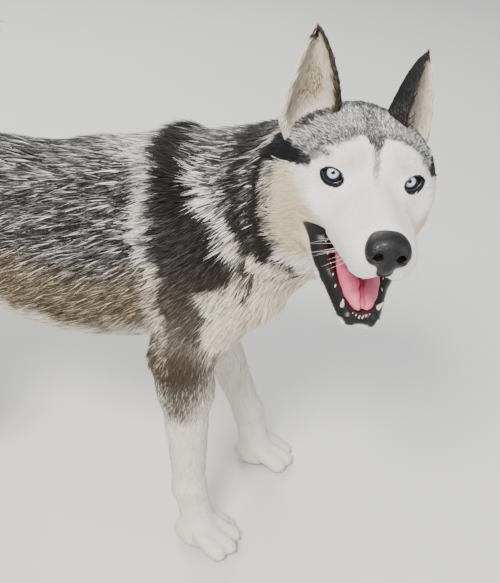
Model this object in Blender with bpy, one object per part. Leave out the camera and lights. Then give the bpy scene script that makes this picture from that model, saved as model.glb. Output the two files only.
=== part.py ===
"""A Siberian husky standing with its head turned to its right and its mouth open, at life size.

Metres, +Z up, +X towards the chest, +Y to the animal's left. While it is modelled the origin is on the
floor under the withers. The last step moves the whole animal so that the origin is under its middle.
The flesh is a field: a sum of rounded forms that blend, negative inside. A net drawn over the field at
zero gives the coat's outer surface, and thin cuts part it into the pieces that a person would name.
"""

import itertools
import math
import random

import bmesh
import bpy
import numpy as np
from mathutils import Euler, Matrix, Vector

# Gaps and cells
GAP = 0.0003
BODY_CELL = 0.0075
HEAD_CELL = 0.0026
PAW_CELL = 0.0034

# Places and poses
HEAD_PLACE = (0.152, -0.173, 0.564)
HEAD_TURN = (math.radians(-2.9), math.radians(-5.7), math.radians(-82.8))
HEAD_FRAME = Matrix.Translation(HEAD_PLACE) @ Euler(HEAD_TURN, "XYZ").to_matrix().to_4x4()
JAW_HINGE = (-0.064, 0.0, -0.045)
JAW_OPEN = math.radians(31)
JAW_FRAME = HEAD_FRAME @ Matrix.Translation(JAW_HINGE) @ Matrix.Rotation(JAW_OPEN, 4, "Y")
CARPUS_HEIGHT = 0.088
HOCK_HEIGHT = 0.135
ELBOW = (-0.016, 0.083, 0.288)
KNEE = (-0.345, 0.085, 0.262)
HIP = (-0.425, 0.062, 0.395)
FORE_PAWS = {"right": (-0.008, -0.075, math.radians(-9)), "left": (0.058, 0.086, math.radians(5))}
HIND_PAWS = {"right": (-0.495, -0.086, math.radians(-6)), "left": (-0.462, 0.086, math.radians(6))}
SIDES = {"right": -1, "left": 1}

# Sizes of the head's own parts
EYE_RADIUS = 0.0112
EYE_PLACE = (-0.0060, 0.0340, 0.0)
EYE_OUTWARD = math.radians(16)
LID_SLANT = math.radians(17)
LID_THICK = 0.0026
LID_HALF_LENGTH = 0.0126
LID_HALF_HEIGHT = 0.0087
JAW_LENGTH = 0.139
MOUTH_CORNER = -0.020
CANINE_HEIGHT = 0.013
EAR_ROWS = 8
EAR_COLUMNS = 8

# The long hair of the tail and the thighs
TAIL_RINGS = 7
TAIL_LOCKS_A_RING = 5
BREECH_LEVELS = 5
LOCK_SINK = 0.004
LOCK_THICK = 0.0042

# Joining and cutting
HEAD_BACK = -0.088
TINTS = {
    "white": (0.80, 0.77, 0.70),
    "grey": (0.33, 0.33, 0.34),
    "dark": (0.08, 0.08, 0.09),
    "black": (0.012, 0.012, 0.013),
    "iris": (0.45, 0.62, 0.80),
    "tongue": (0.72, 0.23, 0.27),
}


def blend(first, second, width):
    """The union of two fields, rounded where they meet."""
    share = np.clip(0.5 + 0.5 * (second - first) / width, 0, 1)
    return second * (1 - share) + first * share - width * share * (1 - share)


def carve(field, cutter, width):
    """The first field with the second taken out of it, rounded along the edge."""
    return -blend(-field, cutter, width)


def overlap(first, second, width):
    """The part inside both fields, rounded along the edge."""
    return -blend(-first, -second, width)


def ball(centre, radii, turn=(0, 0, 0)):
    """An ellipsoid's field; turn is its Euler angles in degrees."""
    back = np.array(Euler([math.radians(a) for a in turn], "XYZ").to_matrix())
    centre, radii = np.array(centre), np.array(radii)

    def field(points):
        local = (points - centre) @ back
        near = np.sqrt(((local / radii) ** 2).sum(-1))
        slope = np.sqrt(((local / radii**2) ** 2).sum(-1)) + 1e-9
        return near * (near - 1) / slope

    return field


def limb(start, end, start_radius, end_radius):
    """The field of a tapered round limb between two points."""
    start, along = np.array(start), np.subtract(end, start)

    def field(points):
        share = np.clip((points - start) @ along / (along @ along), 0, 1)
        radius = start_radius + share * (end_radius - start_radius)
        return np.linalg.norm(points - start - share[..., None] * along, axis=-1) - radius

    return field


def mirrored(maker, *places, **more):
    """The same form on both sides: every tuple of three that is a place has its Y turned over."""
    made = []
    for side in (1, -1):
        moved = [(p[0], side * p[1], p[2]) if isinstance(p, tuple) else p for p in places]
        if maker is ball:
            moved[1] = places[1]
            turn = more.get("turn", (0, 0, 0))
            made.append(ball(*moved, turn=(side * turn[0], turn[1], side * turn[2])))
        else:
            made.append(maker(*moved))
    return made


def head_forms():
    """Skull, brows, muzzle and cheeks in the head's own frame: X to the nose, origin between the eyes."""
    yield 0.010, [ball((-0.062, 0, -0.002), (0.066, 0.060, 0.0425))]
    yield 0.014, mirrored(ball, (-0.026, 0.019, 0.0140), (0.038, 0.030, 0.0235))
    yield 0.008, mirrored(ball, (-0.006, 0.031, 0.0145), (0.015, 0.018, 0.010))
    yield 0.016, [limb((0.000, 0, -0.012), (0.076, 0, -0.0225), 0.0185, 0.0125)]
    yield 0.016, mirrored(limb, (0.006, 0.020, -0.032), (0.077, 0.0120, -0.0410), 0.0235, 0.0195)
    yield 0.008, mirrored(limb, (0.024, 0.024, -0.0455), (0.076, 0.0120, -0.0530), 0.0115, 0.0130)
    yield 0.018, mirrored(ball, (-0.020, 0.040, -0.018), (0.036, 0.021, 0.028))
    yield 0.020, mirrored(ball, (-0.054, 0.042, -0.026), (0.050, 0.033, 0.048))
    yield 0.024, mirrored(ball, (-0.086, 0.050, -0.045), (0.046, 0.034, 0.060))
    yield 0.024, [limb((-0.030, 0, -0.086), (-0.100, 0, -0.085), 0.030, 0.060)]


def jaw_forms():
    """The lower jaw in its own frame: X to the chin, origin on the hinge."""
    yield 0.010, mirrored(limb, (0.020, 0.035, -0.008), (0.080, 0.0225, -0.007), 0.019, 0.0135)
    yield 0.008, mirrored(limb, (0.080, 0.0225, -0.007), (0.129, 0.0090, -0.006), 0.0130, 0.0110)
    yield 0.010, [limb((0.020, 0, -0.024), (0.120, 0, -0.013), 0.020, 0.0115)]


def eye_frame(side):
    """The frame of one eye inside the head's: X out through the pupil, Y along the lids."""
    place = Matrix.Translation((EYE_PLACE[0], side * EYE_PLACE[1], EYE_PLACE[2]))
    return place @ Matrix.Rotation(side * EYE_OUTWARD, 4, "Z") @ Matrix.Rotation(side * LID_SLANT, 4, "X")


def to_local(points, frame):
    """World points, or points of an outer frame, in the frame given."""
    inverse = np.array(frame.inverted())
    return points @ inverse[:3, :3].T + inverse[:3, 3]


def lid_opening(points, side):
    """The field of the almond-shaped opening between the lids, drawn out along the gaze."""
    local = to_local(points, eye_frame(side))
    radius = (LID_HALF_LENGTH**2 + LID_HALF_HEIGHT**2) / (2 * LID_HALF_HEIGHT)
    offset = radius - LID_HALF_HEIGHT
    upper = np.hypot(local[..., 1], local[..., 2] + offset)
    lower = np.hypot(local[..., 1], local[..., 2] - offset)
    return np.maximum(np.maximum(upper, lower) - radius, 0.3 * EYE_RADIUS - local[..., 0])


def union_of(points, forms, field=None):
    """Blends every form of a generator of (width, forms) onto a field."""
    for width, group in forms:
        for form in group:
            value = form(points)
            field = value if field is None else blend(field, value, width)
    return field


def mouth_wedge(local, jaw_local):
    """The space between the line of the upper lips and the lower jaw, from the corners forward."""
    above = local[..., 2] + 0.0505 + 0.12 * (local[..., 0] - MOUTH_CORNER)
    below = -0.004 - jaw_local[..., 2]
    behind = MOUTH_CORNER - local[..., 0]
    return overlap(overlap(above, below, 0.006), behind, 0.014)


def head_field(points):
    """Head and lower jaw with the lids, the open mouth and the line of the lips; world points."""
    local = to_local(points, HEAD_FRAME)
    jaw_local = to_local(points, JAW_FRAME)
    field = union_of(local, head_forms())
    field = carve(field, mouth_wedge(local, jaw_local), 0.006)
    palate = ball((0.036, 0, -0.060), (0.056, 0.0200, 0.0150), (0, 3, 0))
    field = carve(field, palate(local), 0.004)
    jaw = union_of(jaw_local, jaw_forms())
    trough = ball((0.068, 0, 0.012), (0.067, 0.0215, 0.0200))
    jaw = carve(jaw, trough(jaw_local), 0.003)
    field = blend(field, jaw, 0.012)
    throat = ball((0.004, 0, -0.072), (0.052, 0.0270, 0.0170), (0, 18, 0))
    field = carve(field, throat(local), 0.005)
    for side in SIDES.values():
        eye = (EYE_PLACE[0], side * EYE_PLACE[1], EYE_PLACE[2])
        lids = ball(eye, (EYE_RADIUS + LID_THICK,) * 3)
        field = blend(field, lids(local), 0.007)
        field = carve(field, lid_opening(local, side), 0.0016)
    return field


def neck_forms():
    """The neck, which bends to the right as it leaves the shoulders."""
    head = HEAD_FRAME @ Vector((-0.080, 0, -0.022))
    yield 0.030, [limb((0.000, 0, 0.423), (0.060, -0.012, 0.448), 0.104, 0.091)]
    yield 0.024, [limb((0.060, -0.012, 0.448), (0.112, -0.048, 0.489), 0.091, 0.083)]
    yield 0.024, [limb((0.112, -0.048, 0.489), tuple(head), 0.083, 0.072)]


def trunk_forms():
    """Ribs, withers, chest, loin, croup and the muscles of shoulder and thigh."""
    yield 0.030, [ball((-0.115, 0, 0.385), (0.195, 0.098, 0.121), (0, -3, 0))]
    yield 0.030, [ball((-0.290, 0, 0.408), (0.165, 0.078, 0.096), (0, -4, 0))]
    yield 0.040, [ball((-0.405, 0, 0.425), (0.085, 0.074, 0.074))]
    yield 0.040, [ball((-0.035, 0, 0.456), (0.115, 0.050, 0.058))]
    yield 0.030, [ball((0.040, -0.004, 0.378), (0.074, 0.072, 0.088))]
    yield 0.024, mirrored(limb, (-0.035, 0.058, 0.470), (0.048, 0.066, 0.380), 0.042, 0.042)
    yield 0.020, mirrored(limb, (0.045, 0.066, 0.372), ELBOW, 0.042, 0.034)
    yield 0.030, mirrored(ball, (-0.408, 0.066, 0.350), (0.074, 0.046, 0.105), turn=(0, 10, 0))


def fore_leg_forms(side, paw):
    """Forearm and wrist of one foreleg down to its paw."""
    heel_x, heel_y, _ = paw
    elbow = (ELBOW[0] + 0.15 * (heel_x + 0.008), side * ELBOW[1], ELBOW[2])
    wrist = (heel_x + 0.010, heel_y, CARPUS_HEIGHT)
    yield 0.020, [limb(elbow, (elbow[0] + 0.008, elbow[1], 0.245), 0.035, 0.033)]
    yield 0.016, [limb((elbow[0] + 0.006, elbow[1], 0.250), wrist, 0.0330, 0.0212)]
    yield 0.012, [limb(wrist, (heel_x + 0.022, heel_y, 0.038), 0.0216, 0.0225)]


def hind_leg_forms(side, paw):
    """Thigh, shank and hock of one hind leg down to its paw."""
    heel_x, heel_y, _ = paw
    knee = (KNEE[0] + 0.5 * (heel_x + 0.495), side * KNEE[1], KNEE[2])
    hock = (heel_x - 0.004, heel_y, HOCK_HEIGHT)
    yield 0.030, [limb((HIP[0], side * HIP[1], HIP[2]), knee, 0.060, 0.044)]
    yield 0.020, [limb(knee, hock, 0.044, 0.0215)]
    yield 0.010, [limb((hock[0] + 0.03, hock[1], hock[2] + 0.045), (hock[0] - 0.014, hock[1], hock[2] + 0.008), 0.014, 0.0125)]
    yield 0.014, [limb(hock, (heel_x + 0.022, heel_y, 0.040), 0.0215, 0.0225)]


def paw_forms(size):
    """One paw in its own frame: X to the toes, origin on the floor at the heel. It ends with the claws."""
    yield 0.010, [ball((0.026 * size, 0, 0.020), (0.032 * size, 0.0270 * size, 0.0220))]
    for reach, spread in ((0.067, 0.0112), (0.056, 0.0255)):
        knuckle = (0.58 * reach * size, 0.80 * spread * size, 0.0290)
        tip = (reach * size, spread * size, 0.0112)
        yield 0.0022, mirrored(limb, knuckle, tip, 0.0118 * size, 0.0122 * size)



def claws(size):
    """The four claws of a paw: root, tip and radius in the paw's frame."""
    for reach, spread in ((0.067, 0.0112), (0.056, 0.0255)):
        for side in SIDES.values():
            root = ((reach + 0.004) * size, side * spread * size, 0.0130)
            yield root, ((reach + 0.0185) * size, side * spread * size, 0.0045), 0.0034


def paw_frame(paw):
    """The frame of a paw from its heel's place and its turn on the floor."""
    return Matrix.Translation((paw[0], paw[1], 0)) @ Matrix.Rotation(paw[2], 4, "Z")


def paw_field(points, paw, size, field=None):
    """A paw blended onto the leg above it."""
    return blend(field, union_of(to_local(points, paw_frame(paw)), paw_forms(size)), 0.008)


def leg_field(points, name, side, field=None):
    """One whole leg with its paw."""
    if name == "fore":
        paw = FORE_PAWS["left" if side > 0 else "right"]
        field = union_of(points, fore_leg_forms(side, paw), field)
        return paw_field(points, paw, 1.0, field)
    paw = HIND_PAWS["left" if side > 0 else "right"]
    field = union_of(points, hind_leg_forms(side, paw), field)
    return paw_field(points, paw, 0.94, field)


def body_field(points):
    """Everything but the tail, the ears and the loose parts of the head."""
    field = union_of(points, trunk_forms())
    field = union_of(points, neck_forms(), field)
    for side in SIDES.values():
        field = leg_field(points, "fore", side, field)
        field = leg_field(points, "hind", side, field)
    return field


def whole_field(points):
    """Body and head as one, for the places where both matter."""
    return blend(body_field(points), head_field(points), 0.020)


def grid_of(low, high, cell):
    """The points of a box grid, as an array of shape (x, y, z, 3)."""
    axes = [np.arange(a, b + cell, cell) for a, b in zip(low, high)]
    return np.stack(np.meshgrid(*axes, indexing="ij"), -1)


def values_over(field, low, high, cell):
    """The field on a box grid. Blocks that lie far from its zero take the value at their middle."""
    side = 8
    counts = [int(math.ceil((b - a) / cell / side)) for a, b in zip(low, high)]
    blocks = np.stack(np.meshgrid(*map(np.arange, counts), indexing="ij"), -1).reshape(-1, 3)
    middles = np.array(low) + (blocks * side + (side - 1) / 2) * cell
    rough = field(middles)
    steps = grid_of((0, 0, 0), (side - 1,) * 3, 1)[:side, :side, :side].reshape(-1, 3)
    values = np.repeat(rough[:, None], side**3, axis=1)
    near = np.abs(rough) < 1.7 * side * cell
    corners = np.array(low) + blocks[near] * side * cell
    values[near] = field(corners[:, None] + steps[None] * cell)
    values = values.reshape(*counts, side, side, side).transpose(0, 3, 1, 4, 2, 5)
    return values.reshape([side * n for n in counts])


def faces_of_case(corners, number):
    """The triangles that part the inside corners of one tetrahedron from its outside ones, as edges."""
    inner = [n for n in range(4) if number >> n & 1]
    outer = [n for n in range(4) if n not in inner]
    ring = [(i, o) for i in inner for o in (outer if i == inner[0] else outer[::-1])]
    triangles = [ring[:3]] if len(ring) == 3 else [ring[:3], [ring[0], ring[2], ring[3]]]
    way = corners[outer].mean(0) - corners[inner].mean(0)
    for triangle in triangles:
        middles = [corners[list(pair)].mean(0) for pair in triangle]
        normal = np.cross(middles[1] - middles[0], middles[2] - middles[0])
        ordered = triangle if normal @ way > 0 else triangle[::-1]
        yield [(corners[min(pair)], corners[max(pair)]) for pair in ordered]


def net_over(field, low, high, cell):
    """Points and triangles over the field at zero: each cube of the grid is read as six tetrahedra."""
    values = values_over(field, low, high, cell)
    for axis in range(3):
        rim = [slice(None)] * 3
        for end in (0, -1):
            rim[axis] = end
            values[tuple(rim)] = np.maximum(values[tuple(rim)], 0.5 * cell)
    shape = np.array(values.shape)
    strides = np.array((shape[1] * shape[2], shape[2], 1))
    flat, inside = values.ravel(), values.ravel() < 0
    cubes = np.stack(np.meshgrid(*[np.arange(n - 1) for n in shape], indexing="ij"), -1)
    cubes = cubes.reshape(-1, 3) @ strides
    offsets = np.array(list(itertools.product((0, 1), repeat=3)))
    count = sum(inside[cubes + offset @ strides].astype(int) for offset in offsets)
    cubes = cubes[(count > 0) & (count < 8)]
    keys = []
    for order in itertools.permutations(np.eye(3, dtype=int)):
        corners = np.array([np.zeros(3, int), order[0], order[0] + order[1], np.ones(3, int)])
        case = sum(inside[cubes + c @ strides].astype(int) << n for n, c in enumerate(corners))
        for number in range(1, 15):
            chosen = cubes[case == number]
            for triangle in faces_of_case(corners, number):
                ends = [(chosen + a @ strides) * 8 + (b - a) @ (4, 2, 1) for a, b in triangle]
                keys.append(np.stack(ends, 1))
    keys, faces = np.unique(np.concatenate(keys), return_inverse=True)
    steps = np.stack([keys >> 2 & 1, keys >> 1 & 1, keys & 1], 1)
    first = keys // 8
    second = first + steps @ strides
    share = np.clip(flat[first] / (flat[first] - flat[second]), 0.02, 0.98)
    places = np.stack(np.unravel_index(first, shape), 1) + share[:, None] * steps
    return np.array(low) + places * cell, faces.reshape(-1, 3)


def settled(field, vertices, cell, rounds=2):
    """The net's points moved onto the field's zero along its slope."""
    for _ in range(rounds):
        value = field(vertices)
        step = cell * 0.2
        slope = np.stack([(field(vertices + step * axis) - value) / step for axis in np.eye(3)], -1)
        move = value[:, None] * slope / np.maximum((slope**2).sum(-1, keepdims=True), 0.2)
        reach = np.linalg.norm(move, axis=1, keepdims=True)
        vertices = vertices - move * np.minimum(1, 0.5 * cell / np.maximum(reach, 1e-9))
    return vertices


def add_object(name, vertices, faces):
    """A mesh object in the scene."""
    mesh = bpy.data.meshes.new(name)
    mesh.from_pydata([tuple(v) for v in vertices], [], [tuple(int(i) for i in f) for f in faces])
    mesh.update()
    made = bpy.data.objects.new(name, mesh)
    bpy.context.scene.collection.objects.link(made)
    return made


def apply_modifiers(made):
    """Replaces the object's mesh by what its modifiers make of it."""
    bpy.context.view_layer.update()
    graph = bpy.context.evaluated_depsgraph_get()
    mesh = bpy.data.meshes.new_from_object(made.evaluated_get(graph))
    made.modifiers.clear()
    made.data = mesh
    return made


def thin_out(made, triangles):
    """Collapses edges until about that many triangles are left."""
    bm = bmesh.new()
    bm.from_mesh(made.data)
    bmesh.ops.triangulate(bm, faces=bm.faces[:])
    bm.to_mesh(made.data)
    bm.free()
    modifier = made.modifiers.new("fewer", "DECIMATE")
    modifier.ratio = min(1.0, triangles / max(1, len(made.data.polygons)))
    return apply_modifiers(made)


def drawn(name, field, box, cell, triangles):
    """An object drawn over a field inside a box, at about that many triangles."""
    low, high = np.array(box[0]), np.array(box[1])
    high = low + (np.ceil((high - low) / cell / 8) * 8 - 1) * cell
    vertices, faces = net_over(field, low, high + 0.5 * cell, cell)
    on_rim = np.any((vertices < low + cell) | (vertices > high - cell), axis=1)
    moved = settled(field, vertices, cell)
    vertices = np.where(on_rim[:, None], vertices, moved)
    return thin_out(add_object(name, vertices, faces), triangles)


def block(name, low, high, frame=None, grow=0.0):
    """A box that cuts, between two corners of a frame, grown on every side."""
    low, high = Vector(low) - Vector((grow,) * 3), Vector(high) + Vector((grow,) * 3)
    bm = bmesh.new()
    bmesh.ops.create_cube(bm, size=1)
    scale = Matrix.Diagonal((*(high - low), 1))
    bmesh.ops.transform(bm, matrix=Matrix.Translation((low + high) / 2) @ scale, verts=bm.verts[:])
    bmesh.ops.transform(bm, matrix=frame or Matrix.Identity(4), verts=bm.verts[:])
    mesh = bpy.data.meshes.new(name)
    bm.to_mesh(mesh)
    bm.free()
    made = bpy.data.objects.new(name, mesh)
    bpy.context.scene.collection.objects.link(made)
    return made


def largest_shell(made):
    """Keeps only the object's largest closed surface. Surfaces that touch at a point count as two."""
    bm = bmesh.new()
    bm.from_mesh(made.data)
    bmesh.ops.triangulate(bm, faces=bm.faces[:])
    seen, shells = set(), []
    for start in bm.faces:
        if start in seen:
            continue
        stack, shell = [start], {start}
        while stack:
            for edge in stack.pop().edges:
                joined = [f for f in edge.link_faces if f not in shell] if len(edge.link_faces) == 2 else []
                shell.update(joined)
                stack.extend(joined)
        seen |= shell
        shells.append(shell)
    spare = [face for shell in sorted(shells, key=len)[:-1] for face in shell]
    if spare:
        bmesh.ops.delete(bm, geom=spare, context="FACES")
    bm.to_mesh(made.data)
    bm.free()
    return made


def cut(made, cutter, operation, solver="EXACT"):
    """Applies a Boolean with one cutter, removes the cutter and keeps the largest piece."""
    modifier = made.modifiers.new(operation.lower(), "BOOLEAN")
    modifier.operation = operation
    modifier.object = cutter
    modifier.solver = solver
    apply_modifiers(made)
    bpy.data.objects.remove(cutter)
    return largest_shell(made)


def copy_of(made, name, grow=0.0):
    """A copy of an object, its surface pushed out along its normals."""
    copy = made.copy()
    copy.data = made.data.copy()
    copy.name = name
    bpy.context.scene.collection.objects.link(copy)
    if grow:
        modifier = copy.modifiers.new("grow", "DISPLACE")
        modifier.strength = grow
        modifier.mid_level = 0.0
        apply_modifiers(copy)
    return copy


def take_out(made, other, solver="EXACT", gap=GAP):
    """Cuts another object out of this one and leaves the gap of touching pieces."""
    return cut(made, copy_of(other, "cutter", gap), "DIFFERENCE", solver)


def remove(made):
    """Deletes a helper object."""
    bpy.data.objects.remove(made)


def finish_of(name, tint, roughness):
    """A plain material with one colour."""
    material = bpy.data.materials.get(name) or bpy.data.materials.new(name)
    material.use_nodes = True
    shader = material.node_tree.nodes["Principled BSDF"]
    shader.inputs["Base Color"].default_value = (*tint, 1)
    shader.inputs["Roughness"].default_value = roughness
    return material


def dress(made, tint, roughness=0.8):
    """Gives an object its one material and smooth shading."""
    made.data.materials.clear()
    made.data.materials.append(finish_of(tint, TINTS[tint], roughness))
    made.data.shade_smooth()
    made.data.set_sharp_from_angle(angle=math.radians(50))
    return made


def ear_sheet(side, tip, turn):
    """One ear in the head's frame: a cupped leaf with a hollow front, its root sunk in the skull."""
    tip, centre = np.array(tip), np.array((-0.064, side * 0.0520, 0.027))
    half = np.array((-0.001, side * 0.0280, -0.0120))
    half = np.array(Matrix.Rotation(side * turn, 3, Vector(tip - centre)) @ Vector(half))
    inner, outer = centre - half, centre + half
    back = -np.cross(outer - inner, tip - centre) * side
    back /= np.linalg.norm(back)
    root_drop = 0.22
    faces, vertices = [], []
    for layer, inward in ((0, 0.0), (1, 1.0)):
        for row in range(EAR_ROWS + 1):
            share = -root_drop + (1 + root_drop) * row / EAR_ROWS
            width = (1 - max(share, 0) ** 1.35) * 0.97 + 0.03
            middle = centre + (tip - centre) * share
            half = (outer - inner) / 2 * width
            depth = 0.034 * width**0.8
            wall = 0.0052 * (1 - 0.55 * max(share, 0))
            for column in range(EAR_COLUMNS + 1):
                angle = math.pi * (column / EAR_COLUMNS)
                rim = 1 - inward * wall / np.linalg.norm(half) * 0.9
                point = middle - half * math.cos(angle) * rim
                point = point + back * math.sin(angle) * (depth - inward * wall)
                vertices.append(point)
    stride, layer_size = EAR_COLUMNS + 1, (EAR_ROWS + 1) * (EAR_COLUMNS + 1)
    for row in range(EAR_ROWS):
        for column in range(EAR_COLUMNS):
            a = row * stride + column
            faces.append((a, a + 1, a + stride + 1, a + stride))
            b = a + layer_size
            faces.append((b, b + stride, b + stride + 1, b + 1))
        for edge in (0, EAR_COLUMNS):
            a = row * stride + edge
            strip = (a, a + stride, a + stride + layer_size, a + layer_size)
            faces.append(strip if edge == 0 else strip[::-1])
    for row in (0, EAR_ROWS):
        for column in range(EAR_COLUMNS):
            a = row * stride + column
            strip = (a, a + layer_size, a + 1 + layer_size, a + 1)
            faces.append(strip if row == 0 else strip[::-1])
    return vertices, faces


def tip_up(made):
    """Makes every face of a closed object point outwards."""
    bm = bmesh.new()
    bm.from_mesh(made.data)
    bmesh.ops.remove_doubles(bm, verts=bm.verts[:], dist=1e-6)
    bmesh.ops.recalc_face_normals(bm, faces=bm.faces[:])
    bm.to_mesh(made.data)
    bm.free()
    return made


def make_ear(name, side, tip, turn, head):
    """One ear, cut to sit on the skull."""
    vertices, faces = ear_sheet(side, tip, turn)
    placed = [HEAD_FRAME @ Vector(v) for v in vertices]
    made = tip_up(add_object(name, placed, faces))
    return dress(take_out(made, head), "grey")


def make_eye(name, side, head):
    """One eyeball in its socket."""
    bm = bmesh.new()
    bmesh.ops.create_icosphere(bm, subdivisions=3, radius=EYE_RADIUS)
    bmesh.ops.transform(bm, matrix=HEAD_FRAME @ eye_frame(side), verts=bm.verts[:])
    mesh = bpy.data.meshes.new(name)
    bm.to_mesh(mesh)
    bm.free()
    made = bpy.data.objects.new(name, mesh)
    bpy.context.scene.collection.objects.link(made)
    return dress(made, "iris", 0.15)


def nose_field(points):
    """The nose pad with its two nostrils and the groove below; world points."""
    local = to_local(points, HEAD_FRAME)
    field = ball((0.0910, 0, -0.0340), (0.0145, 0.0172, 0.0160))(local)
    field = blend(field, ball((0.0860, 0, -0.0250), (0.0155, 0.0145, 0.0085))(local), 0.006)
    for side in SIDES.values():
        wing = ball((0.0935, side * 0.0112, -0.0330), (0.0105, 0.0082, 0.0110))
        field = blend(field, wing(local), 0.004)
        nostril = limb((0.1065, side * 0.0082, -0.0320), (0.0980, side * 0.0112, -0.0310), 0.0036, 0.0042)
        slit = limb((0.1040, side * 0.0120, -0.0370), (0.0970, side * 0.0205, -0.0400), 0.0022, 0.0014)
        field = carve(field, nostril(local), 0.0015)
        field = carve(field, slit(local), 0.0015)
    groove = limb((0.1075, 0, -0.0340), (0.1030, 0, -0.0490), 0.0012, 0.0014)
    return carve(field, groove(local), 0.0015)


def tongue_field(points):
    """The tongue, lying in the lower jaw with a groove down its middle; world points."""
    local = to_local(points, JAW_FRAME)
    field = ball((0.078, 0, 0.0050), (0.050, 0.0175, 0.0078), (0, -2, 0))(local)
    field = blend(field, ball((0.036, 0, 0.0100), (0.040, 0.0150, 0.0085))(local), 0.012)
    groove = limb((0.030, 0, 0.0235), (0.128, 0, 0.0130), 0.0030, 0.0030)
    return carve(field, groove(local), 0.004)


def tooth(root, tip, radius):
    """A tapered tooth as points and faces: a ring of five sides drawn to a blunt point."""
    root, tip = Vector(root), Vector(tip)
    along = tip - root
    turn = along.to_track_quat("Z", "Y").to_matrix()
    rings = ((0.0, 1.0), (0.55, 0.85), (0.9, 0.42), (1.0, 0.1))
    sides = 5
    vertices = []
    for share, width in rings:
        for k in range(sides):
            angle = math.tau * k / sides
            offset = turn @ Vector((math.cos(angle), math.sin(angle), 0)) * radius * width
            vertices.append(root + along * share + offset)
    faces = [tuple(range(sides))[::-1], tuple(range(sides * (len(rings) - 1), sides * len(rings)))]
    for ring in range(len(rings) - 1):
        for k in range(sides):
            a, b = ring * sides + k, ring * sides + (k + 1) % sides
            faces.append((a, b, b + sides, a + sides))
    return vertices, faces


def jaw_teeth():
    """Incisors, canines and premolars of the lower jaw: root, tip and radius in the jaw's frame."""
    for k in range(6):
        spread = (k - 2.5) * 0.0036
        front = JAW_LENGTH - 0.0035 - 0.45 * abs(spread)
        yield (front - 0.001, spread, -0.006), (front + 0.001, spread, 0.0070), 0.0019
    for side in SIDES.values():
        yield (0.1225, side * 0.0150, -0.004), (0.1260, side * 0.0180, CANINE_HEIGHT), 0.0034
        for k in range(4):
            back = 0.106 - 0.0115 * k
            spread = side * (0.0228 + 0.0020 * k)
            yield (back, spread, -0.004), (back - 0.001, spread, 0.0085 + 0.0006 * k), 0.0034


def fuse(made, pieces, frame):
    """Joins closed pieces to an object by one Boolean union on a collection."""
    helpers = bpy.data.collections.new("pieces")
    bpy.context.scene.collection.children.link(helpers)
    for k, (vertices, faces) in enumerate(pieces):
        placed = [frame @ Vector(v) for v in vertices]
        piece = tip_up(add_object(f"piece_{k}", placed, faces))
        bpy.context.scene.collection.objects.unlink(piece)
        helpers.objects.link(piece)
    modifier = made.modifiers.new("fuse", "BOOLEAN")
    modifier.operation = "UNION"
    modifier.operand_type = "COLLECTION"
    modifier.collection = helpers
    apply_modifiers(made)
    for piece in list(helpers.objects):
        bpy.data.objects.remove(piece)
    bpy.data.collections.remove(helpers)
    return largest_shell(made)


def make_head():
    """Head, lower jaw, eyes, nose, tongue and ears."""
    low, high = Vector((-0.15, -0.12, -0.18)), Vector((0.12, 0.12, 0.08))
    corners = [HEAD_FRAME @ Vector((x, y, z)) for x in (low.x, high.x) for y in (low.y, high.y) for z in (low.z, high.z)]
    box = ([min(c[i] for c in corners) for i in range(3)], [max(c[i] for c in corners) for i in range(3)])
    whole = drawn("head", whole_field, box, HEAD_CELL, 4050)
    front = block("front", (HEAD_BACK, -0.2, -0.25), (0.2, 0.2, 0.2), HEAD_FRAME)
    cut(whole, front, "INTERSECT")
    for side_name, side in SIDES.items():
        eye = make_eye("eye_" + side_name, side, whole)
        take_out(whole, eye)
    jaw_low, jaw_high = (0.047, -0.1, -0.06), (0.2, 0.1, 0.0135)
    jaw = copy_of(whole, "lower_jaw")
    cut(jaw, block("jaw_cell", jaw_low, jaw_high, JAW_FRAME), "INTERSECT")
    cut(whole, block("jaw_gap", jaw_low, jaw_high, JAW_FRAME, GAP), "DIFFERENCE")
    tongue = drawn("tongue", tongue_field, box_of(JAW_FRAME, (-0.01, -0.03, -0.02), (0.14, 0.03, 0.04)), 0.0028, 220)
    for other in (whole, jaw):
        take_out(tongue, other, "MANIFOLD", 2 * GAP)
    fuse(jaw, [tooth(*t) for t in jaw_teeth()], JAW_FRAME)
    nose = drawn("nose", nose_field, box_of(HEAD_FRAME, (0.06, -0.03, -0.06), (0.12, 0.03, 0.0)), 0.0015, 400)
    take_out(nose, whole)
    make_ear("ear_right", -1, (-0.065, -0.0570, 0.1135), math.radians(8), whole)
    make_ear("ear_left", 1, (-0.076, 0.0515, 0.1005), math.radians(42), whole)
    dress(whole, "white")
    dress(jaw, "white")
    dress(tongue, "tongue", 0.4)
    dress(nose, "black", 0.4)
    return whole


def box_of(frame, low, high):
    """The upright box round a box of another frame."""
    corners = [frame @ Vector((x, y, z)) for x in (low[0], high[0]) for y in (low[1], high[1]) for z in (low[2], high[2])]
    return [min(c[i] for c in corners) for i in range(3)], [max(c[i] for c in corners) for i in range(3)]


def leg_cells():
    """The box that parts each leg from the trunk, by node name."""
    for name, side in SIDES.items():
        inner, outer = sorted((side * 0.030, side * 0.2))
        fore_x = FORE_PAWS[name][0]
        yield "foreleg_" + name, (-0.064, inner, -0.1), (fore_x + 0.11, outer, 0.285)
        inner, outer = sorted((side * GAP / 2, side * 0.2))
        hind_x = HIND_PAWS[name][0]
        yield "hindleg_" + name, (hind_x - 0.12, inner, -0.1), (hind_x + 0.20, outer, 0.309)


def paw_cells():
    """Each paw's node name, its place and the height of the cut above it."""
    for name in SIDES:
        yield "forepaw_" + name, FORE_PAWS[name], 1.0, 0.062
        yield "hindpaw_" + name, HIND_PAWS[name], 0.94, 0.062


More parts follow.
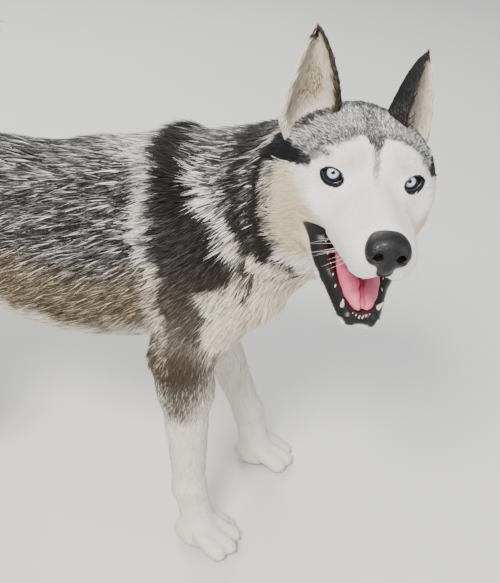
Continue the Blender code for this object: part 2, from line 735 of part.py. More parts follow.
def make_body():
    """Torso, neck, legs and paws."""
    whole = drawn("torso", whole_field, ((-0.58, -0.26, -0.03), (0.25, 0.16, 0.67)), BODY_CELL, 3500)
    fuse(whole, breech_locks(), Matrix.Identity(4))
    back = block("head_room", (HEAD_BACK - GAP, -0.25, -0.3), (0.3, 0.25, 0.3), HEAD_FRAME)
    cut(whole, back, "DIFFERENCE")
    neck_frame = Matrix.Translation((0.050, 0, 0.43)) @ Matrix.Rotation(math.radians(-42), 4, "Y")
    neck = copy_of(whole, "neck")
    reach = ((0.0, -0.3, -0.3), (0.4, 0.3, 0.3))
    cut(neck, block("neck_cell", *reach, neck_frame), "INTERSECT")
    cut(whole, block("neck_gap", *reach, neck_frame, GAP), "DIFFERENCE")
    dress(neck, "grey")
    for side in SIDES:
        take_out(bpy.data.objects["ear_" + side], neck)
    for name, low, high in leg_cells():
        leg = copy_of(whole, name)
        cut(leg, block("leg_cell", low, high), "INTERSECT")
        cut(whole, block("leg_gap", low, high, None, GAP), "DIFFERENCE")
    for name, paw, size, height in paw_cells():
        leg = bpy.data.objects[name.replace("paw", "leg")]
        cut(leg, block("above", (-1, -1, height), (1, 1, 1)), "INTERSECT")
        low = (paw[0] - 0.045, paw[1] - 0.05, -0.01)
        high = (paw[0] + 0.105, paw[1] + 0.05, height + 0.02)
        made = drawn(name, body_field, (low, high), PAW_CELL, 400)
        fuse(made, [tooth(*claw) for claw in claws(size)], paw_frame(paw))
        cut(made, block("cell", (-1, -1, 0), (1, 1, height - GAP)), "INTERSECT")
        dress(made, "white")
        dress(leg, "white")
    dress(whole, "grey")


def tail_spine():
    """The tail's middle line: a sickle that rises from the croup and bends forward over the back."""
    turns = np.linspace(0, 1, 13)
    start, length = np.array((-0.452, 0.0, 0.462)), 0.30
    heading = math.radians(118)
    points = [start]
    for _ in turns[1:]:
        heading -= math.radians(11.5)
        step = length / (len(turns) - 1)
        points.append(points[-1] + step * np.array((math.cos(heading), 0.03, math.sin(heading))))
    return points


def tail_core_radius(share):
    """Radius of the tail without its long hair, from its root at 0 to its tip at 1."""
    return 0.021 + 0.012 * math.sin(math.pi * share**0.9) - 0.008 * share


def tail_field(points):
    """The core of the tail, which the brush of locks grows from; world points."""
    spine = tail_spine()
    field = None
    for k in range(len(spine) - 1):
        radii = [tail_core_radius((k + e) / (len(spine) - 1)) for e in (0, 1)]
        part = limb(spine[k], spine[k + 1], *radii)(points)
        field = part if field is None else blend(field, part, 0.01)
    return field


def lock(root, out, along, length, width, lift):
    """One flat tapered lock of hair: its root sunk along -out, its tip drawn towards along."""
    root, out, along = Vector(root), Vector(out).normalized(), Vector(along)
    along = (along - out * along.dot(out)).normalized()
    across = out.cross(along)
    vertices = []
    for share, wide, thick in ((0.0, 0.75, 1.0), (0.3, 1.0, 0.95), (0.7, 0.72, 0.6), (1.0, 0.12, 0.15)):
        rise = math.sin(lift) * (share - 0.35 * share**2) * length
        centre = root - out * LOCK_SINK + along * share * length * math.cos(lift) + out * rise
        for side, up in ((-1, 0), (0, -1), (1, 0), (0, 1)):
            step = across * side * wide * width + out * up * thick * LOCK_THICK
            vertices.append(centre + step)
    faces = [(3, 2, 1, 0), (12, 13, 14, 15)]
    for ring in range(3):
        for k in range(4):
            a, b = ring * 4 + k, ring * 4 + (k + 1) % 4
            faces.append((a, b, b + 4, a + 4))
    return vertices, faces


def tail_locks():
    """The brush: rings of locks that lean towards the tip, each ring turned half a step."""
    spine = np.array(tail_spine())
    chance = random.Random(3)
    for ring in range(TAIL_RINGS):
        share = 0.06 + 0.90 * ring / (TAIL_RINGS - 1)
        place = share * (len(spine) - 1)
        k = min(int(place), len(spine) - 2)
        centre = Vector(spine[k] + (place - k) * (spine[k + 1] - spine[k]))
        along = Vector(spine[k + 1] - spine[k]).normalized()
        side = Vector((0, 1, 0))
        up = along.cross(side).normalized()
        for n in range(TAIL_LOCKS_A_RING):
            angle = math.tau * (n + 0.5 * (ring % 2) + chance.uniform(-0.12, 0.12)) / TAIL_LOCKS_A_RING
            out = side * math.cos(angle) + up * math.sin(angle)
            root = centre + out * tail_core_radius(share)
            length = (0.060 + 0.020 * math.sin(math.pi * share)) * chance.uniform(0.92, 1.08)
            lift = math.radians(26 * math.sin(math.pi * min(1, share + 0.12)) + 4)
            yield lock(root, out, along, length, 0.0165, lift)


def surface_from(field, start, direction):
    """The place where a straight way out of a form leaves it, and the outward direction there."""
    start, direction = np.array(start, float), np.array(direction, float)
    near, far = 0.0, 0.3
    for _ in range(24):
        middle = (near + far) / 2
        inside = field((start + middle * direction)[None])[0] < 0
        near, far = (middle, far) if inside else (near, middle)
    place = start + near * direction
    slope = [field((place + step)[None])[0] - field((place - step)[None])[0] for step in 0.002 * np.eye(3)]
    return place, Vector(slope).normalized()


def breech_locks():
    """The breeches: longer hair down the back of each thigh."""
    chance = random.Random(5)
    for side in SIDES.values():
        for level in range(BREECH_LEVELS):
            height = 0.380 - 0.026 * level
            for turn in (-14, 22):
                angle = math.radians(180 - side * (turn + chance.uniform(-4, 4)))
                start = (-0.415 + 0.012 * max(0, level - 3), side * 0.066, height + chance.uniform(-0.005, 0.005))
                way = (math.cos(angle), math.sin(angle), 0)
                root, out = surface_from(body_field, start, way)
                along = (-0.25, 0, -1)
                yield lock(root, out, along, 0.046 * chance.uniform(0.9, 1.1), 0.0135, math.radians(15))


def make_tail():
    """The tail with its brush, set on the croup."""
    spine = np.array(tail_spine())
    box = (spine.min(0) - 0.06, spine.max(0) + 0.06)
    tail = drawn("tail", tail_field, box, 0.006, 280)
    fuse(tail, tail_locks(), Matrix.Identity(4))
    take_out(tail, bpy.data.objects["torso"])
    dress(tail, "dark")


def stand_at_origin():
    """Moves the finished pieces so that the origin is on the floor under the middle of them all."""
    low, high = Vector((9, 9, 9)), Vector((-9, -9, -9))
    for made in bpy.context.scene.objects:
        for vertex in made.data.vertices:
            low = Vector(map(min, low, vertex.co))
            high = Vector(map(max, high, vertex.co))
    middle = (low + high) / 2
    for made in bpy.context.scene.objects:
        made.data.transform(Matrix.Translation((-middle.x, -middle.y, -low.z)))


def main():
    """Clears the scene and builds every piece."""
    for old in list(bpy.data.objects):
        bpy.data.objects.remove(old)
    random.seed(7)
    make_head()
    make_body()
    make_tail()
    stand_at_origin()


if __name__ == "__main__":
    main()
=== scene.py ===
"""A husky as a still, life-size museum model: skin, coat, eyes, mouth and the studio round it."""

import itertools
import logging
import math
from collections.abc import Callable, Iterator
from dataclasses import dataclass, field as setting
from enum import Enum
from functools import cache, partial

import bmesh
import bpy
import numpy as np
from mathutils import Euler, Matrix, Vector


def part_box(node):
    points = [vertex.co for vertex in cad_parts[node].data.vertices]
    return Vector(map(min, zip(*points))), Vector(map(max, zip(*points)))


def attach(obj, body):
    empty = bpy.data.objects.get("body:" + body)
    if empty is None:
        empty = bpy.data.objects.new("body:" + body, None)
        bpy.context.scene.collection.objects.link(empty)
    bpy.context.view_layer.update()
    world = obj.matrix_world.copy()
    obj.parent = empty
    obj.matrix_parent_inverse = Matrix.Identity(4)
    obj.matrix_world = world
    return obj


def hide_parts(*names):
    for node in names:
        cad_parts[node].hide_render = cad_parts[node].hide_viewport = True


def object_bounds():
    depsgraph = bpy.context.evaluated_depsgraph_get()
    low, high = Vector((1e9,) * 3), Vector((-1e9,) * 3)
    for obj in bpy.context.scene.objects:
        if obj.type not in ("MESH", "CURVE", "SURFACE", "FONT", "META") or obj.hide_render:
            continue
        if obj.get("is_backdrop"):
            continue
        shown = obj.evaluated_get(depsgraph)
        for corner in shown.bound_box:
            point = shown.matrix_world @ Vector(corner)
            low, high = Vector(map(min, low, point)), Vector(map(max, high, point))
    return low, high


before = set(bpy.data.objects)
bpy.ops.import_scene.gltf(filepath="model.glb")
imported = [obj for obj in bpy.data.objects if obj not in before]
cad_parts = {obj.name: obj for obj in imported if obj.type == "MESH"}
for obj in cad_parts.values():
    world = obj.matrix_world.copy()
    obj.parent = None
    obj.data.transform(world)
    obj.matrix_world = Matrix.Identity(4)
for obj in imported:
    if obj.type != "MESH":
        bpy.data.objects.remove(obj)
CAD_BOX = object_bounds()
log = logging.getLogger("husky")
Array = np.ndarray
Form = Callable[[Array], Array]
Triple = tuple[float, float, float]
Facts = dict[str, Array]
SIDES = {"right": -1, "left": 1}
ROOT = "root"
# Where the photograph's camera stands, in the body's frame.
CAMERA: Triple = (0.054, -0.919, 0.876)
# How many triangles one piece of the coat may have.
PIECE_LIMIT = 199_000


class Slot(Enum):
    """The record's material slots."""

    WHITE = "white_coat"
    GRIZZLED = "grizzled_coat"
    EYE = "eye"
    NOSE = "nose_pad"
    TONGUE = "tongue"


def blend(first: Array, second: Array, width: float) -> Array:
    """Joins two fields and rounds the crease between them.

    Args:
        first: Values of the first field, negative inside.
        second: Values of the second field.
        width: How far the rounding reaches.

    Returns:
        The values of the joined field.
    """
    share = np.clip(0.5 + 0.5 * (second - first) / width, 0, 1)
    return second * (1 - share) + first * share - width * share * (1 - share)


def carve(body: Array, cutter: Array, width: float) -> Array:
    """Takes the second field out of the first and rounds the edge."""
    return -blend(-body, cutter, width)


def overlap(first: Array, second: Array, width: float) -> Array:
    """Keeps what lies inside both fields, with a rounded edge."""
    return -blend(-first, -second, width)


def smooth(value: Array, low: float, high: float) -> Array:
    """Goes softly from 0 at low to 1 at high."""
    share = np.clip((value - low) / (high - low), 0, 1)
    return share * share * (3 - 2 * share)


def unit(vectors: Array) -> Array:
    """Scales every vector to a length of one."""
    return vectors / np.maximum(np.linalg.norm(vectors, axis=-1, keepdims=True), 1e-9)


def ball(centre: Triple, radii: Triple, turn: Triple = (0, 0, 0)) -> Form:
    """Makes the field of an ellipsoid.

    Args:
        centre: Its middle.
        radii: Its three radii.
        turn: Its Euler angles in degrees.

    Returns:
        A function from points to values, negative inside.
    """
    back = np.array(Euler([math.radians(a) for a in turn], "XYZ").to_matrix())
    middle, size = np.array(centre), np.array(radii)

    def form(points: Array) -> Array:
        """Reads the ellipsoid at the points."""
        local = (points - middle) @ back
        near = np.sqrt(((local / size) ** 2).sum(-1))
        slope = np.sqrt(((local / size**2) ** 2).sum(-1)) + 1e-9
        return near * (near - 1) / slope

    return form


def limb(start: Triple, end: Triple, start_radius: float, end_radius: float) -> Form:
    """Makes the field of a tapered round limb between two points.

    Args:
        start: Middle of its first end.
        end: Middle of its last end.
        start_radius: Radius at the start.
        end_radius: Radius at the end.

    Returns:
        A function from points to values, negative inside.
    """
    first, along = np.array(start), np.subtract(end, start)

    def form(points: Array) -> Array:
        """Reads the limb at the points."""
        share = np.clip((points - first) @ along / (along @ along), 0, 1)
        radius = start_radius + share * (end_radius - start_radius)
        return np.linalg.norm(points - first - share[..., None] * along, axis=-1) - radius

    return form


def both(maker: Callable[..., Form], *places: Triple | float, turn: Triple | None = None) -> list[Form]:
    """Makes the same form on the left and on the right.

    Args:
        maker: ball or limb.
        places: What the maker takes; each tuple that is a place is mirrored.
        turn: Euler angles of a ball, mirrored too.

    Returns:
        The two forms.
    """
    made = []
    for side in SIDES.values():
        moved = [(p[0], side * p[1], p[2]) if isinstance(p, tuple) else p for p in places]
        if maker is ball:
            moved[1] = places[1]
            angles = turn or (0, 0, 0)
            made.append(ball(*moved, turn=(side * angles[0], angles[1], side * angles[2])))
        else:
            made.append(maker(*moved))
    return made


def union_of(
    points: Array, forms: Iterator[tuple[float, list[Form]]], start: Array | None = None
) -> Array:
    """Blends every form of a generator onto a field.

    Args:
        points: Where to read the forms.
        forms: Pairs of a blending width and the forms it holds for.
        start: The field so far, if any.

    Returns:
        The values of the union.
    """
    made = start
    for width, group in forms:
        for form in group:
            value = form(points)
            made = value if made is None else blend(made, value, width)
    return made


def to_local(points: Array, place: Matrix) -> Array:
    """Turns points of an outer frame into points of the frame given."""
    back = np.array(place.inverted())
    return points @ back[:3, :3].T + back[:3, 3]


def to_outer(points: Array, place: Matrix) -> Array:
    """Turns points of the frame given into points of the outer frame."""
    out = np.array(place)
    return points @ out[:3, :3].T + out[:3, 3]


def turned(vectors: Array, place: Matrix) -> Array:
    """Turns directions of the frame given into directions of the outer frame."""
    return vectors @ np.array(place)[:3, :3].T


@dataclass(frozen=True)
class Noise:
    """A smooth random field: a sum of waves in seeded directions."""

    wavelength: float
    seed: int
    waves: int = 7

    def read(self, points: Array) -> Array:
        """Returns values of about -1 to 1 at the points.

        Args:
            points: Places in any one frame.
        """
        chance = np.random.default_rng(self.seed)
        total = np.zeros(points.shape[:-1])
        for _ in range(self.waves):
            way = unit(chance.normal(size=3)) * math.tau / (self.wavelength * chance.uniform(0.7, 1.5))
            total += np.sin(points @ way + chance.uniform(0, math.tau))
        return total / math.sqrt(self.waves)


@dataclass
class HeadShape:
    """The head in its own frame: X to the nose, Y to its left, origin between the eyes."""

    place: Triple = (0.152, -0.173, 0.564)
    turn: Triple = (-2.9, -5.7, -82.8)
    hinge: Triple = (-0.064, 0.0, -0.045)
    jaw_open: float = 31.0
    eye_radius: float = 0.0112
    eye_place: Triple = (-0.0060, 0.0340, 0.0)
    eye_outward: float = 16.0
    lid_slant: float = 17.0
    lid_thick: float = 0.0026
    lid_half_length: float = 0.0099
    lid_half_height: float = 0.0069
    mouth_corner: float = -0.020
    jaw_length: float = 0.139

    def __post_init__(self) -> None:
        """Works out the frames of the head and the lower jaw."""
        turn = Euler([math.radians(a) for a in self.turn], "XYZ")
        self.frame = Matrix.Translation(self.place) @ turn.to_matrix().to_4x4()
        jaw_turn = Matrix.Rotation(math.radians(self.jaw_open), 4, "Y")
        self.jaw_frame = self.frame @ Matrix.Translation(self.hinge) @ jaw_turn

    def skull_forms(self) -> Iterator[tuple[float, list[Form]]]:
        """Yields skull, brows, bridge, muzzle, lips and cheeks."""
        yield 0.010, [ball((-0.062, 0, -0.002), (0.066, 0.060, 0.0425))]
        yield 0.014, both(ball, (-0.026, 0.019, 0.0140), (0.038, 0.030, 0.0235))
        yield 0.008, both(ball, (-0.006, 0.031, 0.0145), (0.015, 0.018, 0.010))
        yield 0.016, [limb((0.000, 0, -0.012), (0.076, 0, -0.0225), 0.0185, 0.0125)]
        yield 0.016, both(limb, (0.006, 0.020, -0.032), (0.077, 0.0120, -0.0410), 0.0235, 0.0195)
        yield 0.008, both(limb, (0.024, 0.024, -0.0455), (0.076, 0.0120, -0.0530), 0.0115, 0.0130)
        yield 0.018, both(ball, (-0.020, 0.040, -0.018), (0.036, 0.021, 0.028))
        yield 0.020, both(ball, (-0.054, 0.042, -0.026), (0.050, 0.033, 0.048))
        yield 0.024, both(ball, (-0.086, 0.050, -0.045), (0.046, 0.034, 0.060))
        yield 0.024, [limb((-0.030, 0, -0.086), (-0.100, 0, -0.085), 0.030, 0.060)]

    def jaw_forms(self) -> Iterator[tuple[float, list[Form]]]:
        """Yields the lower jaw in its own frame, X to the chin."""
        yield 0.010, both(limb, (0.020, 0.035, -0.008), (0.080, 0.0225, -0.007), 0.019, 0.0135)
        yield 0.008, both(limb, (0.080, 0.0225, -0.007), (0.129, 0.0090, -0.006), 0.0130, 0.0110)
        yield 0.010, [limb((0.020, 0, -0.024), (0.120, 0, -0.013), 0.020, 0.0115)]

    def eye_middle(self, side: int) -> Array:
        """Returns the middle of one eyeball in the body's frame."""
        x, y, z = self.eye_place
        return np.array(self.frame @ Vector((x, side * y, z)))

    def eye_frame(self, side: int) -> Matrix:
        """Returns the frame of one eye inside the head's: X out through the pupil.

        Args:
            side: -1 for right and 1 for left.
        """
        place = Matrix.Translation((self.eye_place[0], side * self.eye_place[1], self.eye_place[2]))
        outward = Matrix.Rotation(side * math.radians(self.eye_outward), 4, "Z")
        return place @ outward @ Matrix.Rotation(side * math.radians(self.lid_slant), 4, "X")

    def lid_opening(self, local: Array, side: int) -> Array:
        """Returns the field of the almond-shaped opening between the lids.

        Args:
            local: Places in the head's frame.
            side: -1 for right and 1 for left.
        """
        seen = to_local(local, self.eye_frame(side))
        radius = (self.lid_half_length**2 + self.lid_half_height**2) / (2 * self.lid_half_height)
        offset = radius - self.lid_half_height
        upper = np.hypot(seen[..., 1], seen[..., 2] + offset)
        lower = np.hypot(seen[..., 1], seen[..., 2] - offset)
        return np.maximum(np.maximum(upper, lower) - radius, 0.3 * self.eye_radius - seen[..., 0])

    def gape(self, local: Array, jaw_local: Array) -> Array:
        """Returns the field of the space between the upper lips and the lower jaw.

        Args:
            local: Places in the head's frame.
            jaw_local: The same places in the lower jaw's frame.
        """
        above = local[..., 2] + 0.0505 + 0.12 * (local[..., 0] - self.mouth_corner)
        below = -0.004 - jaw_local[..., 2]
        behind = self.mouth_corner - local[..., 0]
        return overlap(overlap(above, below, 0.006), behind, 0.014)

    def hollows(self, local: Array, jaw_local: Array) -> list[Array]:
        """Returns the fields of the palate, the trough of the jaw and the throat.

        Args:
            local: Places in the head's frame.
            jaw_local: The same places in the lower jaw's frame.
        """
        palate = ball((0.036, 0, -0.060), (0.056, 0.0200, 0.0150), (0, 3, 0))(local)
        trough = ball((0.068, 0, 0.012), (0.067, 0.0215, 0.0200))(jaw_local)
        throat = ball((0.004, 0, -0.072), (0.052, 0.0270, 0.0170), (0, 18, 0))(local)
        return [palate, trough, throat]

    def mouth(self, local: Array, jaw_local: Array) -> Array:
        """Returns the field of the whole open mouth."""
        return np.minimum.reduce([self.gape(local, jaw_local), *self.hollows(local, jaw_local)])

    def read(self, points: Array) -> Array:
        """Returns the field of head and jaw at points of the body's frame.

        Args:
            points: Places in the body's frame.
        """
        local, jaw_local = to_local(points, self.frame), to_local(points, self.jaw_frame)
        palate, trough, throat = self.hollows(local, jaw_local)
        skull = union_of(local, self.skull_forms())
        for side in SIDES.values():
            dip = ball((0.030, side * 0.0520, -0.0120), (0.024, 0.0165, 0.0165))
            skull = carve(skull, dip(local), 0.012)
        made = carve(skull, self.gape(local, jaw_local), 0.006)
        made = carve(made, palate, 0.004)
        jaw = carve(union_of(jaw_local, self.jaw_forms()), trough, 0.003)
        made = carve(blend(made, jaw, 0.012), throat, 0.005)
        for side in SIDES.values():
            eye = (self.eye_place[0], side * self.eye_place[1], self.eye_place[2])
            lids = ball(eye, (self.eye_radius + self.lid_thick,) * 3)
            made = blend(made, lids(local), 0.007)
            made = carve(made, self.lid_opening(local, side), 0.0016)
        return made


@cache
def cad_shift() -> Array:
    """Returns the way from the body's origin to the CAD origin, from where the eyes lie in both."""
    cad = [np.array(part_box(f"eye_{name}")).mean(0) for name in SIDES]
    drawn = [HeadShape().eye_middle(side) for side in SIDES.values()]
    return (np.mean(cad, 0) - np.mean(drawn, 0)).round(5)

@dataclass
class BodyShape:
    """Trunk, neck, legs and paws; origin on the floor under the withers, X to the chest."""

    head: HeadShape
    carpus_height: float = 0.088
    hock_height: float = 0.135
    elbow: Triple = (-0.016, 0.083, 0.288)
    knee: Triple = (-0.345, 0.085, 0.262)
    hip: Triple = (-0.425, 0.062, 0.395)
    fore_paws: dict[str, Triple] = setting(
        default_factory=lambda: {"right": (-0.008, -0.075, -9), "left": (0.058, 0.086, 5)}
    )
    hind_paws: dict[str, Triple] = setting(
        default_factory=lambda: {"right": (-0.495, -0.086, -6), "left": (-0.462, 0.086, 6)}
    )
    toes: tuple[tuple[float, float], ...] = ((0.067, 0.0112), (0.056, 0.0255))

    def neck_forms(self) -> Iterator[tuple[float, list[Form]]]:
        """Yields the neck, which bends to the right as it leaves the shoulders."""
        head = tuple(self.head.frame @ Vector((-0.080, 0, -0.022)))
        yield 0.030, [limb((0.000, 0, 0.423), (0.060, -0.012, 0.448), 0.104, 0.091)]
        yield 0.024, [limb((0.060, -0.012, 0.448), (0.112, -0.048, 0.489), 0.091, 0.083)]
        yield 0.024, [limb((0.112, -0.048, 0.489), head, 0.083, 0.072)]

    def trunk_forms(self) -> Iterator[tuple[float, list[Form]]]:
        """Yields ribs, loin, croup, withers, chest, shoulders and thighs."""
        yield 0.030, [ball((-0.115, 0, 0.385), (0.195, 0.098, 0.121), (0, -3, 0))]
        yield 0.030, [ball((-0.290, 0, 0.408), (0.165, 0.078, 0.096), (0, -4, 0))]
        yield 0.040, [ball((-0.405, 0, 0.425), (0.085, 0.074, 0.074))]
        yield 0.040, [ball((-0.035, 0, 0.456), (0.115, 0.050, 0.058))]
        yield 0.030, [ball((0.040, -0.004, 0.378), (0.074, 0.072, 0.088))]
        yield 0.024, both(limb, (-0.035, 0.058, 0.470), (0.048, 0.066, 0.380), 0.042, 0.042)
        yield 0.020, both(limb, (0.045, 0.066, 0.372), self.elbow, 0.042, 0.034)
        yield 0.030, both(ball, (-0.408, 0.066, 0.350), (0.074, 0.046, 0.105), turn=(0, 10, 0))

    def fore_bones(self, name: str) -> tuple[Triple, Triple, Triple]:
        """Returns elbow, wrist and heel of one foreleg.

        Args:
            name: right or left.
        """
        heel_x, heel_y, _ = self.fore_paws[name]
        elbow = (self.elbow[0] + 0.15 * (heel_x + 0.008), SIDES[name] * self.elbow[1], self.elbow[2])
        return elbow, (heel_x + 0.010, heel_y, self.carpus_height), (heel_x + 0.022, heel_y, 0.038)

    def hind_bones(self, name: str) -> tuple[Triple, Triple, Triple, Triple]:
        """Returns hip, knee, hock and heel of one hind leg.

        Args:
            name: right or left.
        """
        heel_x, heel_y, _ = self.hind_paws[name]
        side = SIDES[name]
        hip = (self.hip[0], side * self.hip[1], self.hip[2])
        knee = (self.knee[0] + 0.5 * (heel_x + 0.495), side * self.knee[1], self.knee[2])
        return hip, knee, (heel_x - 0.004, heel_y, self.hock_height), (heel_x + 0.022, heel_y, 0.040)

    def leg_forms(self, name: str) -> Iterator[tuple[float, list[Form]]]:
        """Yields the foreleg and the hind leg of one side, without their paws.

        Args:
            name: right or left.
        """
        elbow, wrist, heel = self.fore_bones(name)
        yield 0.020, [limb(elbow, (elbow[0] + 0.008, elbow[1], 0.245), 0.035, 0.033)]
        yield 0.016, [limb((elbow[0] + 0.006, elbow[1], 0.250), wrist, 0.0330, 0.0212)]
        yield 0.012, [limb(wrist, heel, 0.0216, 0.0225)]
        hip, knee, hock, heel = self.hind_bones(name)
        yield 0.030, [limb(hip, knee, 0.060, 0.044)]
        yield 0.020, [limb(knee, hock, 0.044, 0.0215)]
        tendon = (hock[0] + 0.03, hock[1], hock[2] + 0.045), (hock[0] - 0.014, hock[1], hock[2] + 0.008)
        yield 0.010, [limb(*tendon, 0.014, 0.0125)]
        yield 0.014, [limb(hock, heel, 0.0215, 0.0225)]

    def paw_forms(self, size: float) -> Iterator[tuple[float, list[Form]]]:
        """Yields one paw in its own frame: X to the toes, origin on the floor at the heel.

        Args:
            size: Its size, 1 for a forepaw.
        """
        yield 0.010, [ball((0.026 * size, 0, 0.020), (0.032 * size, 0.0270 * size, 0.0220))]
        for reach, spread in self.toes:
            knuckle = (0.58 * reach * size, 0.80 * spread * size, 0.0290)
            tip = (reach * size, spread * size, 0.0112)
            yield 0.0022, both(limb, knuckle, tip, 0.0118 * size, 0.0122 * size)

    def paws(self) -> Iterator[tuple[str, Matrix, float]]:
        """Yields the name, the frame and the size of every paw."""
        for kind, row, size in (("fore", self.fore_paws, 1.0), ("hind", self.hind_paws, 0.94)):
            for name, (x, y, turn) in row.items():
                place = Matrix.Translation((x, y, 0)) @ Matrix.Rotation(math.radians(turn), 4, "Z")
                yield f"{kind}paw_{name}", place, size

    def body(self, points: Array) -> Array:
        """Returns the field of trunk, neck, legs and paws.

        Args:
            points: Places in the body's frame.
        """
        made = union_of(points, itertools.chain(self.trunk_forms(), self.neck_forms()))
        for name in SIDES:
            made = union_of(points, self.leg_forms(name), made)
        for _, place, size in self.paws():
            made = blend(made, union_of(to_local(points, place), self.paw_forms(size)), 0.008)
        return made

    def read(self, points: Array) -> Array:
        """Returns the field of the whole animal without tail and ears."""
        return blend(self.body(points), self.head.read(points), 0.020)


@dataclass
class TailShape:
    """The tail's core, a sickle that rises from the croup and bends forward over the back."""

    start: Triple = (-0.452, 0.0, 0.462)
    length: float = 0.30
    joints: int = 13
    first_heading: float = 118.0
    bend: float = 11.5

    def __post_init__(self) -> None:
        """Works out the middle line."""
        heading, points = math.radians(self.first_heading), [np.array(self.start)]
        for _ in range(self.joints - 1):
            heading -= math.radians(self.bend)
            step = self.length / (self.joints - 1)
            points.append(points[-1] + step * np.array((math.cos(heading), 0.03, math.sin(heading))))
        self.spine = np.array(points)

    def radius(self, share: float) -> float:
        """Returns the core's radius, from the root at 0 to the tip at 1."""
        return 0.021 + 0.012 * math.sin(math.pi * share**0.9) - 0.008 * share

    def read(self, points: Array) -> Array:
        """Returns the core's field.

        Args:
            points: Places in the body's frame.
        """
        made, last = None, self.joints - 1
        for k in range(last):
            part = limb(self.spine[k], self.spine[k + 1], self.radius(k / last), self.radius((k + 1) / last))
            made = part(points) if made is None else blend(made, part(points), 0.01)
        return made


@dataclass
class Net:
    """Draws a closed surface over a field, cell by cell, near its zero only."""

    low: Triple
    high: Triple
    cell: float
    block: int = 8

    def values(self, form: Form) -> Array:
        """Reads the field on the grid; blocks far from its zero take the value at their middle.

        Args:
            form: The field, negative inside.

        Returns:
            The values at every point of the grid.
        """
        side = self.block
        counts = [int(math.ceil((b - a) / self.cell / side)) for a, b in zip(self.low, self.high)]
        blocks = np.stack(np.meshgrid(*map(np.arange, counts), indexing="ij"), -1).reshape(-1, 3)
        rough = form(np.array(self.low) + (blocks * side + (side - 1) / 2) * self.cell)
        steps = np.stack(np.meshgrid(*[np.arange(side)] * 3, indexing="ij"), -1).reshape(-1, 3)
        values = np.repeat(rough[:, None], side**3, axis=1)
        near = np.abs(rough) < 1.15 * side * self.cell
        corners = np.array(self.low) + blocks[near] * side * self.cell
        values[near] = form(corners[:, None] + steps[None] * self.cell)
        values = values.reshape(*counts, side, side, side).transpose(0, 3, 1, 4, 2, 5)
        return values.reshape([side * n for n in counts])

    def draw(self, form: Form) -> tuple[Array, Array]:
        """Draws the surface.

        Args:
            form: The field, negative inside.

        Returns:
            Points, and faces of four corners that point outwards.
        """
        values = self.values(form)
        shape = np.array(values.shape)
        strides = np.array((shape[1] * shape[2], shape[2], 1))
        flat, inside = values.ravel(), values.ravel() < 0
        cubes = np.stack(np.meshgrid(*[np.arange(n - 1) for n in shape], indexing="ij"), -1)
        cubes = cubes.reshape(-1, 3) @ strides
        offsets = np.array(list(itertools.product((0, 1), repeat=3)))
        count = sum(inside[cubes + offset @ strides].astype(int) for offset in offsets)
        cubes = cubes[(count > 0) & (count < 8)]
        total, hits = np.zeros((len(cubes), 3)), np.zeros(len(cubes))
        for a, b in itertools.combinations(range(8), 2):
            if np.abs(offsets[a] - offsets[b]).sum() != 1:
                continue
            first, second = flat[cubes + offsets[a] @ strides], flat[cubes + offsets[b] @ strides]
            crossed = (first < 0) != (second < 0)
            share = np.where(crossed, first / np.where(crossed, first - second, 1), 0)
            place = offsets[a] + share[:, None] * (offsets[b] - offsets[a])
            total += np.where(crossed[:, None], place, 0)
            hits += crossed
        corners = np.stack(np.unravel_index(cubes, shape), 1)
        points = np.array(self.low) + (corners + total / hits[:, None]) * self.cell
        return self.settle(form, points), self.faces(cubes, inside, strides)

    def faces(self, cubes: Array, inside: Array, strides: Array) -> Array:
        """Joins the cells round every grid edge that crosses the surface.

        Args:
            cubes: Numbers of the cells that the surface passes through.
            inside: Which points of the grid lie inside.
            strides: The step in number along each axis.

        Returns:
            Faces of four corners.
        """
        number = np.full(len(inside), -1)
        number[cubes] = np.arange(len(cubes))
        made = []
        for axis in range(3):
            along, u, v = strides[axis], strides[(axis + 1) % 3], strides[(axis + 2) % 3]
            start, end = inside[cubes], inside[cubes + along]
            for chosen, order in (((start & ~end), (0, 1, 2, 3)), ((~start & end), (3, 2, 1, 0))):
                base = cubes[chosen]
                ring = np.stack([base, base - u, base - u - v, base - v], 1)
                quads = number[ring][:, order]
                made.append(quads[(quads >= 0).all(1)])
        return np.concatenate(made)

    def settle(self, form: Form, points: Array) -> Array:
        """Moves the points onto the field's zero along its slope.

        Args:
            form: The field, negative inside.
            points: The points drawn so far.

        Returns:
            The moved points.
        """
        for _ in range(2):
            value = form(points)
            slope = slope_of(form, points, self.cell * 0.2, value)
            move = value[:, None] * slope / np.maximum((slope**2).sum(-1, keepdims=True), 0.2)
            reach = np.linalg.norm(move, axis=1, keepdims=True)
            points = points - move * np.minimum(1, 0.5 * self.cell / np.maximum(reach, 1e-9))
        return points


def slope_of(form: Form, points: Array, step: float, value: Array | None = None) -> Array:
    """Returns how a field rises along X, Y and Z at the points."""
    here = form(points) if value is None else value
    return np.stack([(form(points + step * axis) - here) / step for axis in np.eye(3)], -1)


@dataclass(frozen=True)
class Station:
    """One stretch of coat: where it is, which way it lies, and how long and deep it is."""

    start: Triple
    end: Triple
    along: Triple
    length: float
    depth: float
    width: float = 0.0013
    lift: float = 24.0
    reach: float = 1.0


def mirror(station: Station) -> Station:
    """Returns the same stretch of coat on the other side.

    Args:
        station: The stretch of coat.
    """
    flip = np.array((1, -1, 1))
    moved = [tuple(np.array(p) * flip) for p in (station.start, station.end, station.along)]
    rest = (station.length, station.depth, station.width, station.lift, station.reach)
    return Station(*moved, *rest)


